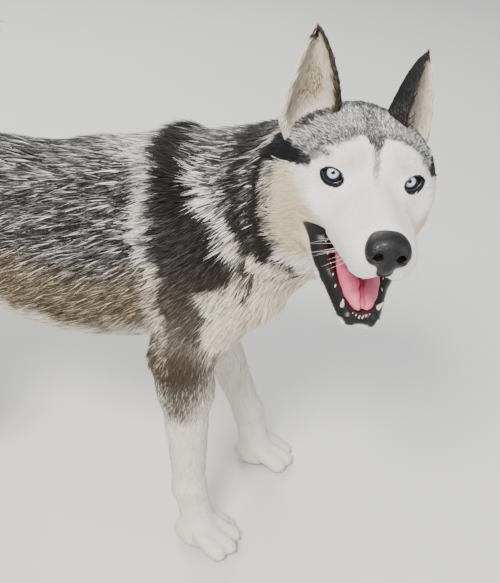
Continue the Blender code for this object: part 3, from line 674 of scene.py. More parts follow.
@dataclass
class CoatPlan:
    """Knows lie, length, width, lift and depth of the coat everywhere on the animal."""

    body: BodyShape

    def __post_init__(self) -> None:
        """Gathers all stations in the body's frame."""
        rows = list(self.trunk()) + list(self.legs()) + list(self.neck())
        rows += [self.moved(s, self.body.head.frame) for s in self.head()]
        rows += [self.moved(s, self.body.head.jaw_frame) for s in self.jaw()]
        self.starts = np.array([s.start for s in rows])
        self.spans = np.array([np.subtract(s.end, s.start) for s in rows])
        self.ways = unit(np.array([s.along for s in rows]))
        self.reaches = np.array([s.reach for s in rows])
        self.facts = np.array([(s.length, s.depth, s.width, s.lift) for s in rows])

    def moved(self, station: Station, place: Matrix) -> Station:
        """Turns a station of the head or jaw into the body's frame.

        Args:
            station: The stretch of coat.
            place: The frame that it is given in.

        Returns:
            The same station in the body's frame.
        """
        ends = [tuple(place @ Vector(p)) for p in (station.start, station.end)]
        along = tuple(place.to_3x3() @ Vector(station.along))
        rest = (station.length, station.depth, station.width, station.lift, station.reach)
        return Station(*ends, along, *rest)

    def paired(self, *rows: Station) -> Iterator[Station]:
        """Yields every station on both sides.

        Args:
            rows: Stations of the right or left side.
        """
        for row in rows:
            yield row
            yield mirror(row)

    def trunk(self) -> Iterator[Station]:
        """Yields the stations of back, flanks, belly, chest, shoulders and thighs."""
        yield Station((0.00, 0, 0.50), (-0.42, 0, 0.48), (-1, 0, -0.06), 0.027, 0.0080, 0.0015)
        yield Station((0.11, -0.02, 0.42), (0.09, 0, 0.34), (-0.15, 0, -1), 0.026, 0.0080, 0.0014)
        yield Station((0.06, 0, 0.29), (-0.03, 0, 0.28), (-0.8, 0, -0.5), 0.020, 0.0060, 0.0013)
        yield Station((-0.46, 0, 0.45), (-0.47, 0, 0.42), (-0.7, 0, -0.7), 0.026, 0.0070, 0.0014)
        yield from self.paired(
            Station((-0.04, 0.10, 0.45), (-0.38, 0.08, 0.43), (-1, 0, -0.35), 0.025, 0.0080, 0.0015),
            Station((-0.08, 0.11, 0.36), (-0.34, 0.09, 0.37), (-1, 0, -0.50), 0.024, 0.0075, 0.0014),
            Station((-0.06, 0.04, 0.27), (-0.34, 0.03, 0.31), (-1, 0, -0.25), 0.020, 0.0060, 0.0013),
            Station((0.05, 0.09, 0.44), (0.04, 0.11, 0.33), (-0.45, 0.1, -0.85), 0.021, 0.0065, 0.0014),
            Station((-0.36, 0.11, 0.40), (-0.35, 0.12, 0.29), (-0.45, 0, -0.88), 0.022, 0.0065, 0.0014),
            Station((-0.47, 0.07, 0.40), (-0.43, 0.08, 0.27), (-0.35, 0, -1), 0.042, 0.0030, 0.0016, 26),
        )

    def legs(self) -> Iterator[Station]:
        """Yields the stations of the four legs and paws."""
        for name in SIDES:
            elbow, wrist, heel = self.body.fore_bones(name)
            yield Station(elbow, wrist, (-0.08, 0, -1), 0.010, 0.0030, 0.0011, 16)
            yield Station(wrist, heel, (0.1, 0, -1), 0.007, 0.0020, 0.0010, 14)
            back = (elbow[0] - 0.05, elbow[1], elbow[2]), (wrist[0] - 0.03, wrist[1], wrist[2] + 0.05)
            yield Station(*back, (-0.35, 0, -1), 0.016, 0.0040, 0.0012, 22, 0.7)
            hip, knee, hock, heel = self.body.hind_bones(name)
            yield Station(knee, hock, tuple(np.subtract(hock, knee)), 0.012, 0.0035, 0.0012, 18)
            yield Station(hock, heel, (0.05, 0, -1), 0.008, 0.0020, 0.0010, 14)
        for _, place, _ in self.body.paws():
            paw = Station((0.02, 0, 0.035), (0.065, 0, 0.02), (1, 0, -0.35), 0.0065, 0.0016, 0.0010, 12)
            yield self.moved(paw, place)

    def neck(self) -> Iterator[Station]:
        """Yields the stations of the neck, all round its bent middle line."""
        head = np.array(self.body.head.frame @ Vector((-0.085, 0, -0.022)))
        line = [head, np.array((0.112, -0.048, 0.489)), np.array((0.03, -0.006, 0.44))]
        for first, second in zip(line, line[1:]):
            along = unit(second - first)
            side = unit(np.cross(along, (0, 0, 1)))
            up = np.cross(side, along)
            for angle in np.radians(np.arange(0, 360, 60)):
                out = 0.08 * (side * math.cos(angle) + up * math.sin(angle))
                drop = along + 0.35 * np.array((0, 0, -1)) * abs(math.cos(angle))
                yield Station(tuple(first + out), tuple(second + out), tuple(drop), 0.029, 0.0085, 0.0015, 26)

    def head(self) -> Iterator[Station]:
        """Yields the stations of skull, muzzle, brows and cheeks in the head's frame."""
        yield Station((0.086, 0, -0.018), (0.010, 0, 0.002), (-1, 0, 0.22), 0.0040, 0.0008, 0.00065, 10)
        yield Station((-0.01, 0, 0.024), (-0.06, 0, 0.04), (-1, 0, 0.2), 0.0065, 0.0022, 0.0009, 12)
        yield Station((-0.08, 0, 0.04), (-0.11, 0, 0.03), (-1, 0, -0.1), 0.012, 0.0040, 0.0012, 15)
        yield Station((0.00, 0, -0.10), (-0.09, 0, -0.14), (-1, 0, -0.4), 0.022, 0.0060, 0.0013, 22)
        yield from self.paired(
            Station((0.085, 0.024, -0.04), (0.02, 0.042, -0.035), (-1, 0.18, -0.12), 0.0048, 0.0010, 0.0007, 12),
            Station((0.085, 0.02, -0.06), (0.01, 0.045, -0.056), (-1, 0.2, -0.45), 0.0050, 0.0008, 0.0007, 12),
            Station((0.012, 0.012, 0.004), (-0.005, 0.02, 0.02), (-0.8, 0.3, 0.5), 0.0045, 0.0012, 0.0007, 14),
            Station((0.0, 0.035, 0.021), (-0.02, 0.045, 0.025), (-0.7, 0.6, 0.25), 0.0065, 0.0020, 0.0008, 18),
            Station((0.010, 0.045, -0.018), (-0.01, 0.055, -0.012), (-0.9, 0.5, -0.3), 0.0060, 0.0015, 0.0008, 14),
            Station((-0.035, 0.058, 0.01), (-0.07, 0.06, 0.0), (-1, 0.3, -0.15), 0.0110, 0.0030, 0.0010, 20),
            Station((-0.02, 0.062, -0.035), (-0.05, 0.075, -0.04), (-0.9, 0.3, -0.45), 0.0110, 0.0034, 0.0011, 18),
            Station((-0.08, 0.085, -0.03), (-0.10, 0.085, -0.08), (-0.7, 0.35, -0.65), 0.0165, 0.0060, 0.0013, 20),
        )

    def jaw(self) -> Iterator[Station]:
        """Yields the stations of the lower jaw in its own frame."""
        yield Station((0.132, 0, -0.014), (0.11, 0, -0.02), (-1, 0, -0.1), 0.0055, 0.0010, 0.0007, 14)
        yield Station((0.10, 0, -0.03), (0.04, 0, -0.045), (-1, 0, -0.1), 0.0110, 0.0026, 0.0010, 18)
        yield from self.paired(
            Station((0.12, 0.022, -0.01), (0.04, 0.05, -0.01), (-1, 0.1, -0.2), 0.0070, 0.0012, 0.0008, 14),
            Station((0.03, 0.055, -0.015), (0.0, 0.06, -0.03), (-1, 0.2, -0.35), 0.0120, 0.0028, 0.0010, 18),
        )

    def shares(self, points: Array) -> Array:
        """Returns how much each station counts at each point.

        Args:
            points: Places in the body's frame.
        """
        shares = np.empty((len(points), len(self.starts)))
        for k, (start, span) in enumerate(zip(self.starts, self.spans)):
            part = np.clip((points - start) @ span / max(span @ span, 1e-9), 0, 1)
            away = np.linalg.norm(points - start - part[:, None] * span, axis=1)
            shares[:, k] = (self.reaches[k] / (away + 0.008)) ** 4
        return shares / shares.sum(1, keepdims=True)

    def read(self, points: Array) -> tuple[Array, Array]:
        """Reads the plan at the points.

        Args:
            points: Places in the body's frame, as an array of shape (n, 3).

        Returns:
            The directions that the coat lies in, and length, depth, width and lift.
        """
        shares = self.shares(points)
        return shares @ self.ways, shares @ self.facts

    def bareness(self, points: Array) -> Array:
        """Returns 0 on mouth, eyes and nose and 1 where the coat is full.

        Args:
            points: Places in the body's frame.
        """
        head = self.body.head
        local, jaw_local = to_local(points, head.frame), to_local(points, head.jaw_frame)
        full = smooth(head.mouth(local, jaw_local), 0.0010, 0.0080)
        for side in SIDES.values():
            eye = to_local(local, head.eye_frame(side))
            full *= smooth(np.linalg.norm(eye * (1, 0.82, 1), axis=-1), 0.0102, 0.0190)
        nose = ball((0.0935, 0, -0.0330), (0.0125, 0.0200, 0.0170))(local)
        return full * smooth(nose, 0.0005, 0.0080)


@dataclass
class SkinShape:
    """The skin: the animal's outline taken in by the depth of its coat."""

    body: BodyShape
    plan: CoatPlan

    def head_room(self, points: Array) -> Array:
        """Returns how far points lie outside the room that the head's own skin covers.

        Args:
            points: Places in the body's frame.
        """
        local = to_local(points, self.body.head.frame)
        back, low, side = -0.090 - local[..., 0], -0.122 - local[..., 2], np.abs(local[..., 1]) - 0.106
        return np.maximum(np.maximum(back, low), side)

    def head_part(self, points: Array) -> Array:
        """Returns the head's outline, closed inside the neck."""
        return overlap(self.body.read(points) + 0.0003, self.head_room(points) - 0.010, 0.002)

    def body_part(self, points: Array) -> Array:
        """Returns the outline of the rest, closed inside the head."""
        return carve(self.body.read(points), self.head_room(points) + 0.012, 0.002)

    def draw(self, form: Form, net: Net, depth: float | None = None) -> tuple[Array, ...]:
        """Draws one part of the skin.

        Args:
            form: The outline to draw.
            net: The grid to draw it on.
            depth: How far the skin lies inside it, or None for the plan's depth.

        Returns:
            Points, outward directions and faces.
        """
        points, faces = net.draw(form)
        # The closing faces inside the neck follow the animal's outline, so that no rim stands up.
        out = unit(slope_of(self.body.read if depth is None else form, points, net.cell * 0.3))
        if depth is None:
            _, facts = self.plan.read(points)
            taken = facts[:, 1] * (0.04 + 0.96 * self.plan.bareness(points))
            points = points - out * taken[:, None]
        else:
            points = points - out * depth
        return points, out, faces


@dataclass
class Piece:
    """A finished mesh piece of the model, in the body's frame, and what it stands for."""

    name: str
    points: Array
    faces: Array
    finish: bpy.types.Material
    slot: Slot
    replaces: tuple[str, ...] = ()
    facts: Facts = setting(default_factory=dict)
    uv: Array | None = None

    def build(self) -> bpy.types.Object:
        """Makes the object in the CAD frame, with its attributes, finish and body."""
        mesh = bpy.data.meshes.new(self.name)
        mesh.vertices.add(len(self.points))
        mesh.vertices.foreach_set("co", (self.points + cad_shift()).astype(np.float32).ravel())
        mesh.loops.add(self.faces.size)
        mesh.loops.foreach_set("vertex_index", self.faces.astype(np.int32).ravel())
        mesh.polygons.add(len(self.faces))
        starts = np.arange(0, self.faces.size, self.faces.shape[1], dtype=np.int32)
        mesh.polygons.foreach_set("loop_start", starts)
        for name, values in self.facts.items():
            made = mesh.attributes.new(name, "FLOAT", "POINT")
            made.data.foreach_set("value", values.astype(np.float32))
        if self.uv is not None:
            layer = mesh.uv_layers.new(name="OFBake")
            layer.uv.foreach_set("vector", self.uv[self.faces.ravel()].astype(np.float32).ravel())
        mesh.update(calc_edges=True)
        mesh.shade_smooth()
        mesh.materials.append(self.finish)
        made = bpy.data.objects.new(self.name, mesh)
        bpy.context.scene.collection.objects.link(made)
        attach(made, ROOT)
        if self.replaces:
            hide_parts(*self.replaces)
        log.info("%s: %d faces", self.name, len(self.faces))
        return made


@dataclass
class Markings:
    """The pattern of the coat, the same for skin and hair, alike on both sides."""

    body: BodyShape
    tail: TailShape
    sigma: float = 0.006
    cheek_band: tuple[Triple, ...] = (
        (0, 0.010, 0.020), (45, 0.040, 0.017), (64, 0.068, 0.014), (79, 0.080, 0.014),
        (100, 0.096, 0.013), (126, 0.103, 0.011), (146, 0.094, 0.006), (152, 0.090, 0.000),
    )
    nape_band: tuple[Triple, ...] = (
        (0, 0.110, 0.022), (28, 0.117, 0.014), (57, 0.122, 0.011), (89, 0.124, 0.009),
        (104, 0.119, 0.008), (122, 0.110, 0.006), (132, 0.106, 0.000),
    )
    light_streak: tuple[Triple, ...] = (
        (25, 0.205, 0.000), (46, 0.200, 0.013), (66, 0.179, 0.014), (82, 0.154, 0.013),
        (99, 0.137, 0.011), (114, 0.131, 0.012), (140, 0.126, 0.020),
    )
    white_band: tuple[Triple, ...] = (
        (0, 0.268, 0.008), (15, 0.262, 0.009), (56, 0.266, 0.010), (85, 0.277, 0.011),
        (109, 0.268, 0.010), (134, 0.266, 0.009), (150, 0.262, 0.006),
    )
    saddle: tuple[Triple, ...] = (
        (0, 0.222, 0.254), (35, 0.217, 0.252), (59, 0.204, 0.250), (68, 0.194, 0.252), (86, 0.171, 0.256),
        (105, 0.150, 0.256), (118, 0.143, 0.256), (136, 0.140, 0.254), (140, 0.142, 0.252), (180, 0.150, 0.250),
    )
    cap_rim: tuple[tuple[float, ...], ...] = (
        (0, 0.003, 0.010, 0.026, 0.038, 0.050, 0.060), (0.006, 0.003, -0.011, -0.007, -0.006, -0.012, -0.03),
    )
    lip_edge: tuple[tuple[float, ...], ...] = (
        (0.0, 0.02, 0.08, 0.129, 0.140), (0.052, 0.050, 0.0370, 0.0215, 0.012),
    )

    def __post_init__(self) -> None:
        """Lays the middle line of neck and trunk that the bands are measured along."""
        head = np.array(self.body.head.frame @ Vector((-0.085, 0, -0.022)))
        line = np.array(
            [head, (0.112, -0.048, 0.489), (0.03, -0.006, 0.44), (-0.10, 0, 0.415), (-0.46, 0, 0.43)]
        )
        reach = np.r_[0, np.cumsum(np.linalg.norm(np.diff(line, axis=0), axis=1))]
        self.steps = np.linspace(0, reach[-1], 60)
        points = np.stack([np.interp(self.steps, reach, line[:, k]) for k in range(3)], 1)
        for _ in range(8):
            points[1:-1] = (points[:-2] + 2 * points[1:-1] + points[2:]) / 4
        self.line, self.tangents = points, unit(np.gradient(points, axis=0))

    def chart(self, points: Array) -> tuple[Array, Array]:
        """Measures points along and round the middle line.

        Args:
            points: Places in the body's frame.

        Returns:
            The way from the head along the line, and the angle from the top in degrees.
        """
        along, angle = np.empty(len(points)), np.empty(len(points))
        for part in np.array_split(np.arange(len(points)), max(1, len(points) // 40000)):
            away = np.linalg.norm(points[part, None] - self.line[None], axis=2)
            shares = np.exp(-(away - away.min(1, keepdims=True)) / self.sigma)
            shares /= shares.sum(1, keepdims=True)
            tangent = unit(shares @ self.tangents)
            arm = points[part] - shares @ self.line
            up = unit(np.array((0, 0, 1.0)) - tangent * tangent[:, 2:3])
            side = np.cross(tangent, up)
            along[part] = shares @ self.steps
            angle[part] = np.degrees(np.arctan2(np.abs((arm * side).sum(1)), (arm * up).sum(1)))
        return along, angle

    def band(self, rows: tuple[Triple, ...], along: Array, angle: Array, soft: float) -> Array:
        """Returns 1 inside a band given by angle, middle and half width, and 0 outside.

        Args:
            rows: Angle, middle and half width, row by row.
            along: How far each place lies along the middle line.
            angle: The angle of each place from the top, in degrees.
            soft: How far its edges fade.
        """
        table = np.array(rows)
        middle, half = (np.interp(angle, table[:, 0], table[:, k]) for k in (1, 2))
        inside = half - np.abs(along - middle)
        known = (angle >= table[0, 0] - 1) & (angle <= table[-1, 0] + 1)
        return smooth(inside, -soft, soft) * (half > 0.0015) * known

    def read(self, points: Array) -> Facts:
        """Reads the markings.

        Args:
            points: Places on the animal in the body's frame.

        Returns:
            dark (0 white to 1 black), warm (cream to tan), grizzle (how banded the hairs are)
            and bare (lips, lids and the inside of the mouth).
        """
        wobble = Noise(0.045, 11).read(points) * 0.006 + Noise(0.012, 12).read(points) * 0.0025
        along, angle = self.chart(points)
        along = along + wobble
        angle = angle + 500 * wobble
        facts = self.trunk(points, along, angle)
        self.neck(facts, along, angle)
        self.legs(facts, points, wobble)
        local = to_local(points, self.body.head.frame)
        self.face(facts, local, to_local(points, self.body.head.jaw_frame), wobble)
        self.rump(facts, points, wobble)
        return {name: np.clip(values, 0, 1) for name, values in facts.items()}

    def paint(self, facts: Facts, mask: Array, **levels: float | Array) -> None:
        """Pulls facts towards new levels where the mask is."""
        for name, level in levels.items():
            facts[name] = facts[name] * (1 - mask) + level * mask

    def trunk(self, points: Array, along: Array, angle: Array) -> Facts:
        """Lays the grizzled back and flanks and the cream belly and chest.

        Args:
            points: Places in the body's frame.
            along: How far each place lies along the middle line.
            angle: The angle of each place from the top, in degrees.

        Returns:
            The facts of the markings.
        """
        patch = Noise(0.030, 21).read(points)
        top = 0.80 + 0.04 * patch + 0.06 * smooth(angle, 20, 60) - 0.06 * smooth(angle, 75, 110)
        belly = smooth(angle, 138, 154)
        facts = {
            "dark": top * (1 - belly) + 0.02 * belly,
            "warm": 0.06 + 0.78 * smooth(angle, 96, 124) * (1 - belly) + 0.25 * belly,
            "grizzle": np.full(len(points), 0.85) * (1 - 0.6 * belly),
            "bare": np.zeros(len(points)),
        }
        pale = smooth(along, 0.255, 0.275) * smooth(-along, -0.345, -0.300) * smooth(-angle, -34, -12)
        self.paint(facts, 0.8 * pale, dark=0.25)
        return facts

    def neck(self, facts: Facts, along: Array, angle: Array) -> None:
        """Lays the bands of neck and shoulder.

        Args:
            facts: The markings so far.
            along: How far each place lies along the middle line.
            angle: The angle of each place from the top, in degrees.
        """
        neck = smooth(-along, -0.240, -0.205)
        self.paint(facts, neck, dark=0.72 + 0.12 * smooth(-along, -0.150, -0.125), warm=0.12)
        throat = neck * smooth(angle, 118, 134)
        streak = self.band(self.light_streak, along, angle, 0.007)
        self.paint(facts, streak, dark=0.16)
        self.paint(facts, streak * smooth(angle, 70, 110), warm=0.35)
        grey = smooth(along, 0.128, 0.150) * smooth(-along, -0.215, -0.190) * smooth(-angle, -40, -20)
        self.paint(facts, grey * 0.7, dark=0.72)
        self.paint(facts, throat, dark=0.0, warm=0.45)
        table = np.array(self.saddle)
        front, back = (np.interp(angle, table[:, 0], table[:, k]) for k in (1, 2))
        chest = smooth(angle, 116, 124) * smooth(along, 0.150, 0.156) * smooth(-along, -0.216, -0.200)
        chest = np.maximum(chest, smooth(angle, 133, 139) * smooth(-along, -0.216, -0.200))
        inside = smooth(along - front, -0.004, 0.006) * smooth(back - along, -0.005, 0.005)
        inside = inside * (1 - chest) * (1 - smooth(angle, 150, 165))
        edge = smooth(front + 0.045 - along, -0.010, 0.020)
        level = 0.84 + 0.14 * edge - 0.06 * smooth(angle, 95, 130) * (1 - edge)
        self.paint(facts, inside, dark=level, warm=0.08 + 0.34 * smooth(angle, 95, 130), grizzle=0.35)
        self.paint(facts, chest, dark=0.01, warm=0.55)
        for rows, level in ((self.cheek_band, 0.93), (self.nape_band, 0.92)):
            self.paint(facts, self.band(rows, along, angle, 0.005), dark=level, grizzle=0.20)
        white = self.band(self.white_band, along, angle, 0.007)
        self.paint(facts, 0.85 * white, dark=0.12)
        self.paint(facts, 0.6 * white, warm=0.30)
        tassel = smooth(0.014 - np.abs(along - 0.044), -0.004, 0.004) * smooth(7 - np.abs(angle - 37), -3, 3)
        self.paint(facts, tassel, dark=0.04, warm=0.38)

    def legs(self, facts: Facts, points: Array, wobble: Array) -> None:
        """Whitens the legs and darkens the outer upper foreleg, most near the body and towards the back of the leg.

        Args:
            facts: The markings so far.
            points: Places in the body's frame.
            wobble: Small seeded shifts that break up the borders.
        """
        x, y, z = points[:, 0], np.abs(points[:, 1]), points[:, 2] + 1.5 * wobble
        fore = smooth(x, -0.090, -0.070) * smooth(-z, -0.330, -0.290)
        behind = smooth(-x, -0.024, 0.016)
        # A dark brown patch on the outer upper foreleg, fading towards the paw and paler at the front.
        grey = fore * smooth(z, 0.180, 0.290) * (0.45 + 0.55 * behind) * smooth(y, 0.050, 0.078)
        self.paint(facts, fore, dark=0.02, warm=0.32)
        self.paint(facts, grey, dark=0.96, warm=0.60)
        hind = smooth(-x, 0.250, 0.290) * smooth(-z, -0.345 - 0.10 * smooth(-x, 0.38, 0.45), -0.255)
        self.paint(facts, hind, dark=0.02, warm=0.16)

    def rump(self, facts: Facts, points: Array, wobble: Array) -> None:
        """Lays dark hair on the tail's back and white under it.

        Args:
            facts: The markings so far.
            points: Places in the body's frame.
            wobble: Small seeded shifts that break up the borders.
        """
        spine = self.tail.spine
        away = np.linalg.norm(points[:, None] - spine[None], axis=2)
        nearest = away.argmin(1)
        on_tail = smooth(-away.min(1), -0.075, -0.055) * (points[:, 2] > 0.47)
        share = nearest / (self.tail.joints - 1)
        way = unit(np.gradient(spine, axis=0))[nearest]
        up = np.cross(way, np.array((0, 1.0, 0)))
        height = ((points - spine[nearest]) * up).sum(1) + wobble
        dark = 0.35 + 0.55 * smooth(height, -0.022, 0.012)
        dark = np.maximum(dark, 0.95 * smooth(share, 0.80, 0.95))
        self.paint(facts, on_tail, dark=dark, warm=0.12)
        breech = smooth(-points[:, 0], 0.440, 0.470) * smooth(-points[:, 2], -0.440, -0.400) * (1 - on_tail)
        self.paint(facts, breech, dark=0.08, warm=0.25)

    def face(self, facts: Facts, local: Array, jaw_local: Array, wobble: Array) -> None:
        """Lays the white mask, the cap, the temples, the rims of eyes and lips.

        Args:
            facts: The markings so far.
            local: The points in the head's frame.
            jaw_local: The points in the lower jaw's frame.
            wobble: Small seeded shifts that break up the borders.
        """
        x, y, z = local[:, 0] + 0.6 * wobble, np.abs(local[:, 1]), local[:, 2]
        spot = np.stack([x, y, z], 1)
        near = smooth(-np.linalg.norm(local - np.array((-0.02, 0, -0.03)), axis=1), -0.155, -0.140)
        banded = smooth(facts["dark"], 0.75, 0.9) * smooth(-x, 0.055, 0.07)
        mask = near * smooth(x, -0.096, -0.080) * (1 - banded)
        mask = np.maximum(mask, near * smooth(x, -0.060, -0.050))
        self.paint(facts, mask, dark=0.0, warm=0.10, grizzle=0.30)
        cheek = ball((-0.055, 0.055, -0.055), (0.060, 0.040, 0.055))(spot)
        self.paint(facts, mask * smooth(-cheek, -0.012, 0.010), warm=0.90)
        rim = np.interp(y, *self.cap_rim)
        low = 0.004 + 0.012 * smooth(-x, 0.03, 0.07)
        cap = smooth(rim - x, -0.004, 0.005) * smooth(z, low - 0.006, low + 0.006) * near
        grey = 0.48 + 0.16 * smooth(x - rim, -0.022, -0.004) + 0.14 * smooth(-y, -0.011, -0.003)
        grey = grey + 0.22 * smooth(-x, 0.055, 0.075)
        self.paint(facts, cap, dark=grey, warm=0.05, grizzle=0.55)
        temple = limb((-0.090, 0.080, -0.004), (-0.014, 0.0560, 0.0035), 0.0165, 0.0045)(spot)
        self.paint(facts, smooth(-temple, -0.003, 0.003), dark=0.98, warm=0.0, grizzle=0.2)
        brow_grey = limb((-0.020, 0.056, 0.008), (-0.002, 0.044, 0.019), 0.0070, 0.0040)(spot)
        self.paint(facts, 0.8 * smooth(-brow_grey, -0.004, 0.003), dark=0.66)
        half = np.interp(x, (-0.02, 0.0, 0.03, 0.05), (0.0060, 0.0044, 0.0024, 0.0010))
        streak = smooth(half - y, -0.0030, 0.0024) * smooth(-x, -0.046, -0.006) * smooth(z, -0.016, -0.004)
        self.paint(facts, 0.58 * streak * smooth(x, -0.015, -0.002), dark=0.78)
        brow = ball((0.006, 0.020, 0.018), (0.010, 0.009, 0.008))(spot)
        self.paint(facts, 0.8 * smooth(-brow, -0.006, 0.003), warm=0.55)
        self.soot(facts, local, jaw_local)

    def soot(self, facts: Facts, local: Array, jaw_local: Array) -> None:
        """Blackens the rims of eyes and lips and bares the inside of the mouth.

        Args:
            facts: The markings so far.
            local: Places in the head's frame.
            jaw_local: The same places in the lower jaw's frame.
        """
        head = self.body.head
        spot = np.stack([local[:, 0], np.abs(local[:, 1]), local[:, 2]], 1)
        front = smooth(to_local(spot, head.eye_frame(1))[:, 0], 0.002, 0.006)
        ring = smooth(-head.lid_opening(spot, 1), -0.0024, -0.0010) * front
        corner = limb((0.004, 0.0235, -0.004), (0.0165, 0.0185, -0.0085), 0.0040, 0.0012)(spot)
        ring = np.maximum(ring, 0.9 * smooth(-corner, -0.0020, 0.0005))
        self.paint(facts, ring, dark=1.0, grizzle=0.0)
        specks = smooth(Noise(0.0045, 31).read(local), 1.0, 1.5)
        beds = ball((0.066, 0.027, -0.044), (0.020, 0.014, 0.012))(spot)
        self.paint(facts, 0.55 * specks * smooth(-beds, -0.004, 0.004), dark=0.6)
        pad = smooth(-ball((0.0905, 0, -0.0325), (0.0150, 0.0165, 0.0150))(spot), -0.001, 0.001)
        self.paint(facts, pad, dark=1.0, bare=1.0)
        inner = head.mouth(local, jaw_local)
        lip = smooth(-inner, -0.0014, -0.0002)
        lip = np.maximum(lip, smooth(-ball((0.098, 0, -0.050), (0.012, 0.006, 0.008))(local), -0.003, 0.001))
        half = np.interp(jaw_local[:, 0], *self.lip_edge)
        pale = smooth(np.abs(jaw_local[:, 1]) - half, -0.001, 0.001) * smooth(-jaw_local[:, 2], -0.005, -0.001)
        self.paint(facts, lip * (1 - pale), dark=1.0)
        facts["bare"] = np.maximum(facts["bare"], smooth(-inner, -0.0016, 0.0002) * (1 - pale))


@dataclass
class Surface:
    """Triangles that hair is planted on, with outward directions at their corners."""

    points: Array
    out: Array
    triangles: Array

    @classmethod
    def of_quads(cls, points: Array, out: Array, faces: Array) -> "Surface":
        """Splits faces of four corners in two."""
        return cls(points, out, np.concatenate([faces[:, [0, 1, 2]], faces[:, [0, 2, 3]]]))

    def middles(self) -> Array:
        """Returns the middle of every triangle."""
        return self.points[self.triangles].mean(1)

    def sample(self, density: Array, chance: np.random.Generator) -> tuple[Array, Array, Array]:
        """Scatters roots over the triangles.

        Args:
            density: Roots a square metre, for each triangle.
            chance: The seeded source of random numbers.

        Returns:
            Roots, outward directions, and the triangle of each root.
        """
        corners = self.points[self.triangles]
        area = np.linalg.norm(np.cross(corners[:, 1] - corners[:, 0], corners[:, 2] - corners[:, 0]), axis=1) / 2
        wanted = area * density
        count = np.floor(wanted + chance.random(len(wanted))).astype(int)
        chosen = np.repeat(np.arange(len(wanted)), count)
        a, b = chance.random(len(chosen)), chance.random(len(chosen))
        turn = a + b > 1
        a, b = np.where(turn, 1 - a, a), np.where(turn, 1 - b, b)
        shares = np.stack([1 - a - b, a, b], 1)[:, :, None]
        roots = (corners[chosen] * shares).sum(1)
        return roots, unit((self.out[self.triangles[chosen]] * shares).sum(1)), chosen


@dataclass
class Tufts:
    """A crowd of flat tapered tufts, each bent over along the lie of the coat."""

    roots: Array
    out: Array
    ways: Array
    length: Array
    width: Array
    lift: Array
    marks: Facts
    clump: float = 0.012
    rows: int = 3
    seed: int = 1
    swing: float = 8.0
    sink: float = 0.0004
    patch: float = 0.003

    @staticmethod
    def triangles_each(rows: int) -> int:
        """Returns how many triangles a tuft of so many rings of points has."""
        return 2 * rows - 3

    def build(self, places: Array) -> tuple[Array, Array, Facts, Array]:
        """Makes the mesh of all tufts.

        Args:
            places: Where each root lies on the unwrap of the skin, from 0 to 1.

        Returns:
            Points, triangles, the facts of each point, and the bake map of each point.
        """
        chance = np.random.default_rng(self.seed)
        count = len(self.roots)
        ways = unit(self.ways - self.out * (self.ways * self.out).sum(1, keepdims=True))
        across = np.cross(self.out, ways)
        swing = self.swing * Noise(self.clump, self.seed + 1).read(self.roots)
        swing += 0.7 * self.swing * Noise(self.clump * 0.45, self.seed + 2).read(self.roots)
        swing = np.radians(swing + chance.normal(0, 0.45 * self.swing, count))[:, None]
        cos, sin = np.cos(swing), np.sin(swing)
        ways, across = ways * cos + across * sin, across * cos - ways * sin
        roll = np.radians(chance.normal(0, 12, count))[:, None]
        flat = across * np.cos(roll) + self.out * np.sin(roll)
        rise = Noise(self.clump * 0.8, self.seed + 3).read(self.roots)
        lift = np.radians(np.clip(self.lift * (1 + 0.28 * rise + chance.normal(0, 0.18, count)), 3, 60))[:, None]
        length = (self.length * (1 + 0.12 * rise) * chance.uniform(0.72, 1.18, count))[:, None]
        width = (self.width * chance.uniform(0.75, 1.25, count))[:, None]
        bend = 0.06 * length * chance.normal(0, 1, (count, 1))
        shares = np.linspace(0, 1, self.rows)
        wide = np.interp(shares, (0, 0.35, 0.75, 1), (0.7, 1.0, 0.72, 0.0))
        rings, tips = [], []
        for share, part in zip(shares, wide):
            up = self.out * np.sin(lift) * (share - 0.42 * share**2) * length
            middle = self.roots - self.out * self.sink + ways * np.cos(lift) * share * length + up
            middle = middle + across * bend * share**2
            if part > 0:
                rings += [middle - flat * part * width / 2, middle + flat * part * width / 2]
            else:
                rings.append(middle)
            tips += [share] * (2 if part > 0 else 1)
        points = np.stack(rings, 1)
        size = points.shape[1]
        pattern = []
        for k in range(self.rows - 2):
            a = 2 * k
            pattern += [(a, a + 1, a + 3), (a, a + 3, a + 2)]
        pattern.append((size - 3, size - 2, size - 1))
        faces = (np.arange(count)[:, None, None] * size + np.array(pattern)[None]).reshape(-1, 3)
        facts = {name: np.repeat(values, size) for name, values in self.marks.items()}
        facts["tip"] = np.tile(tips, count)
        fleck = Noise(self.clump * 0.4, self.seed + 4).read(self.roots)
        facts["chance"] = np.repeat(np.clip(0.5 + 0.13 * fleck + chance.normal(0, 0.24, count), 0, 1), size)
        patch = self.patch * (np.stack([np.tile((0.0, 1.0), self.rows)[:size], np.array(tips)], 1) - 0.5)
        uv = np.clip(places[:, None], 0.002, 0.998) + patch[None]
        return points.reshape(-1, 3), faces, facts, uv.reshape(-1, 2)


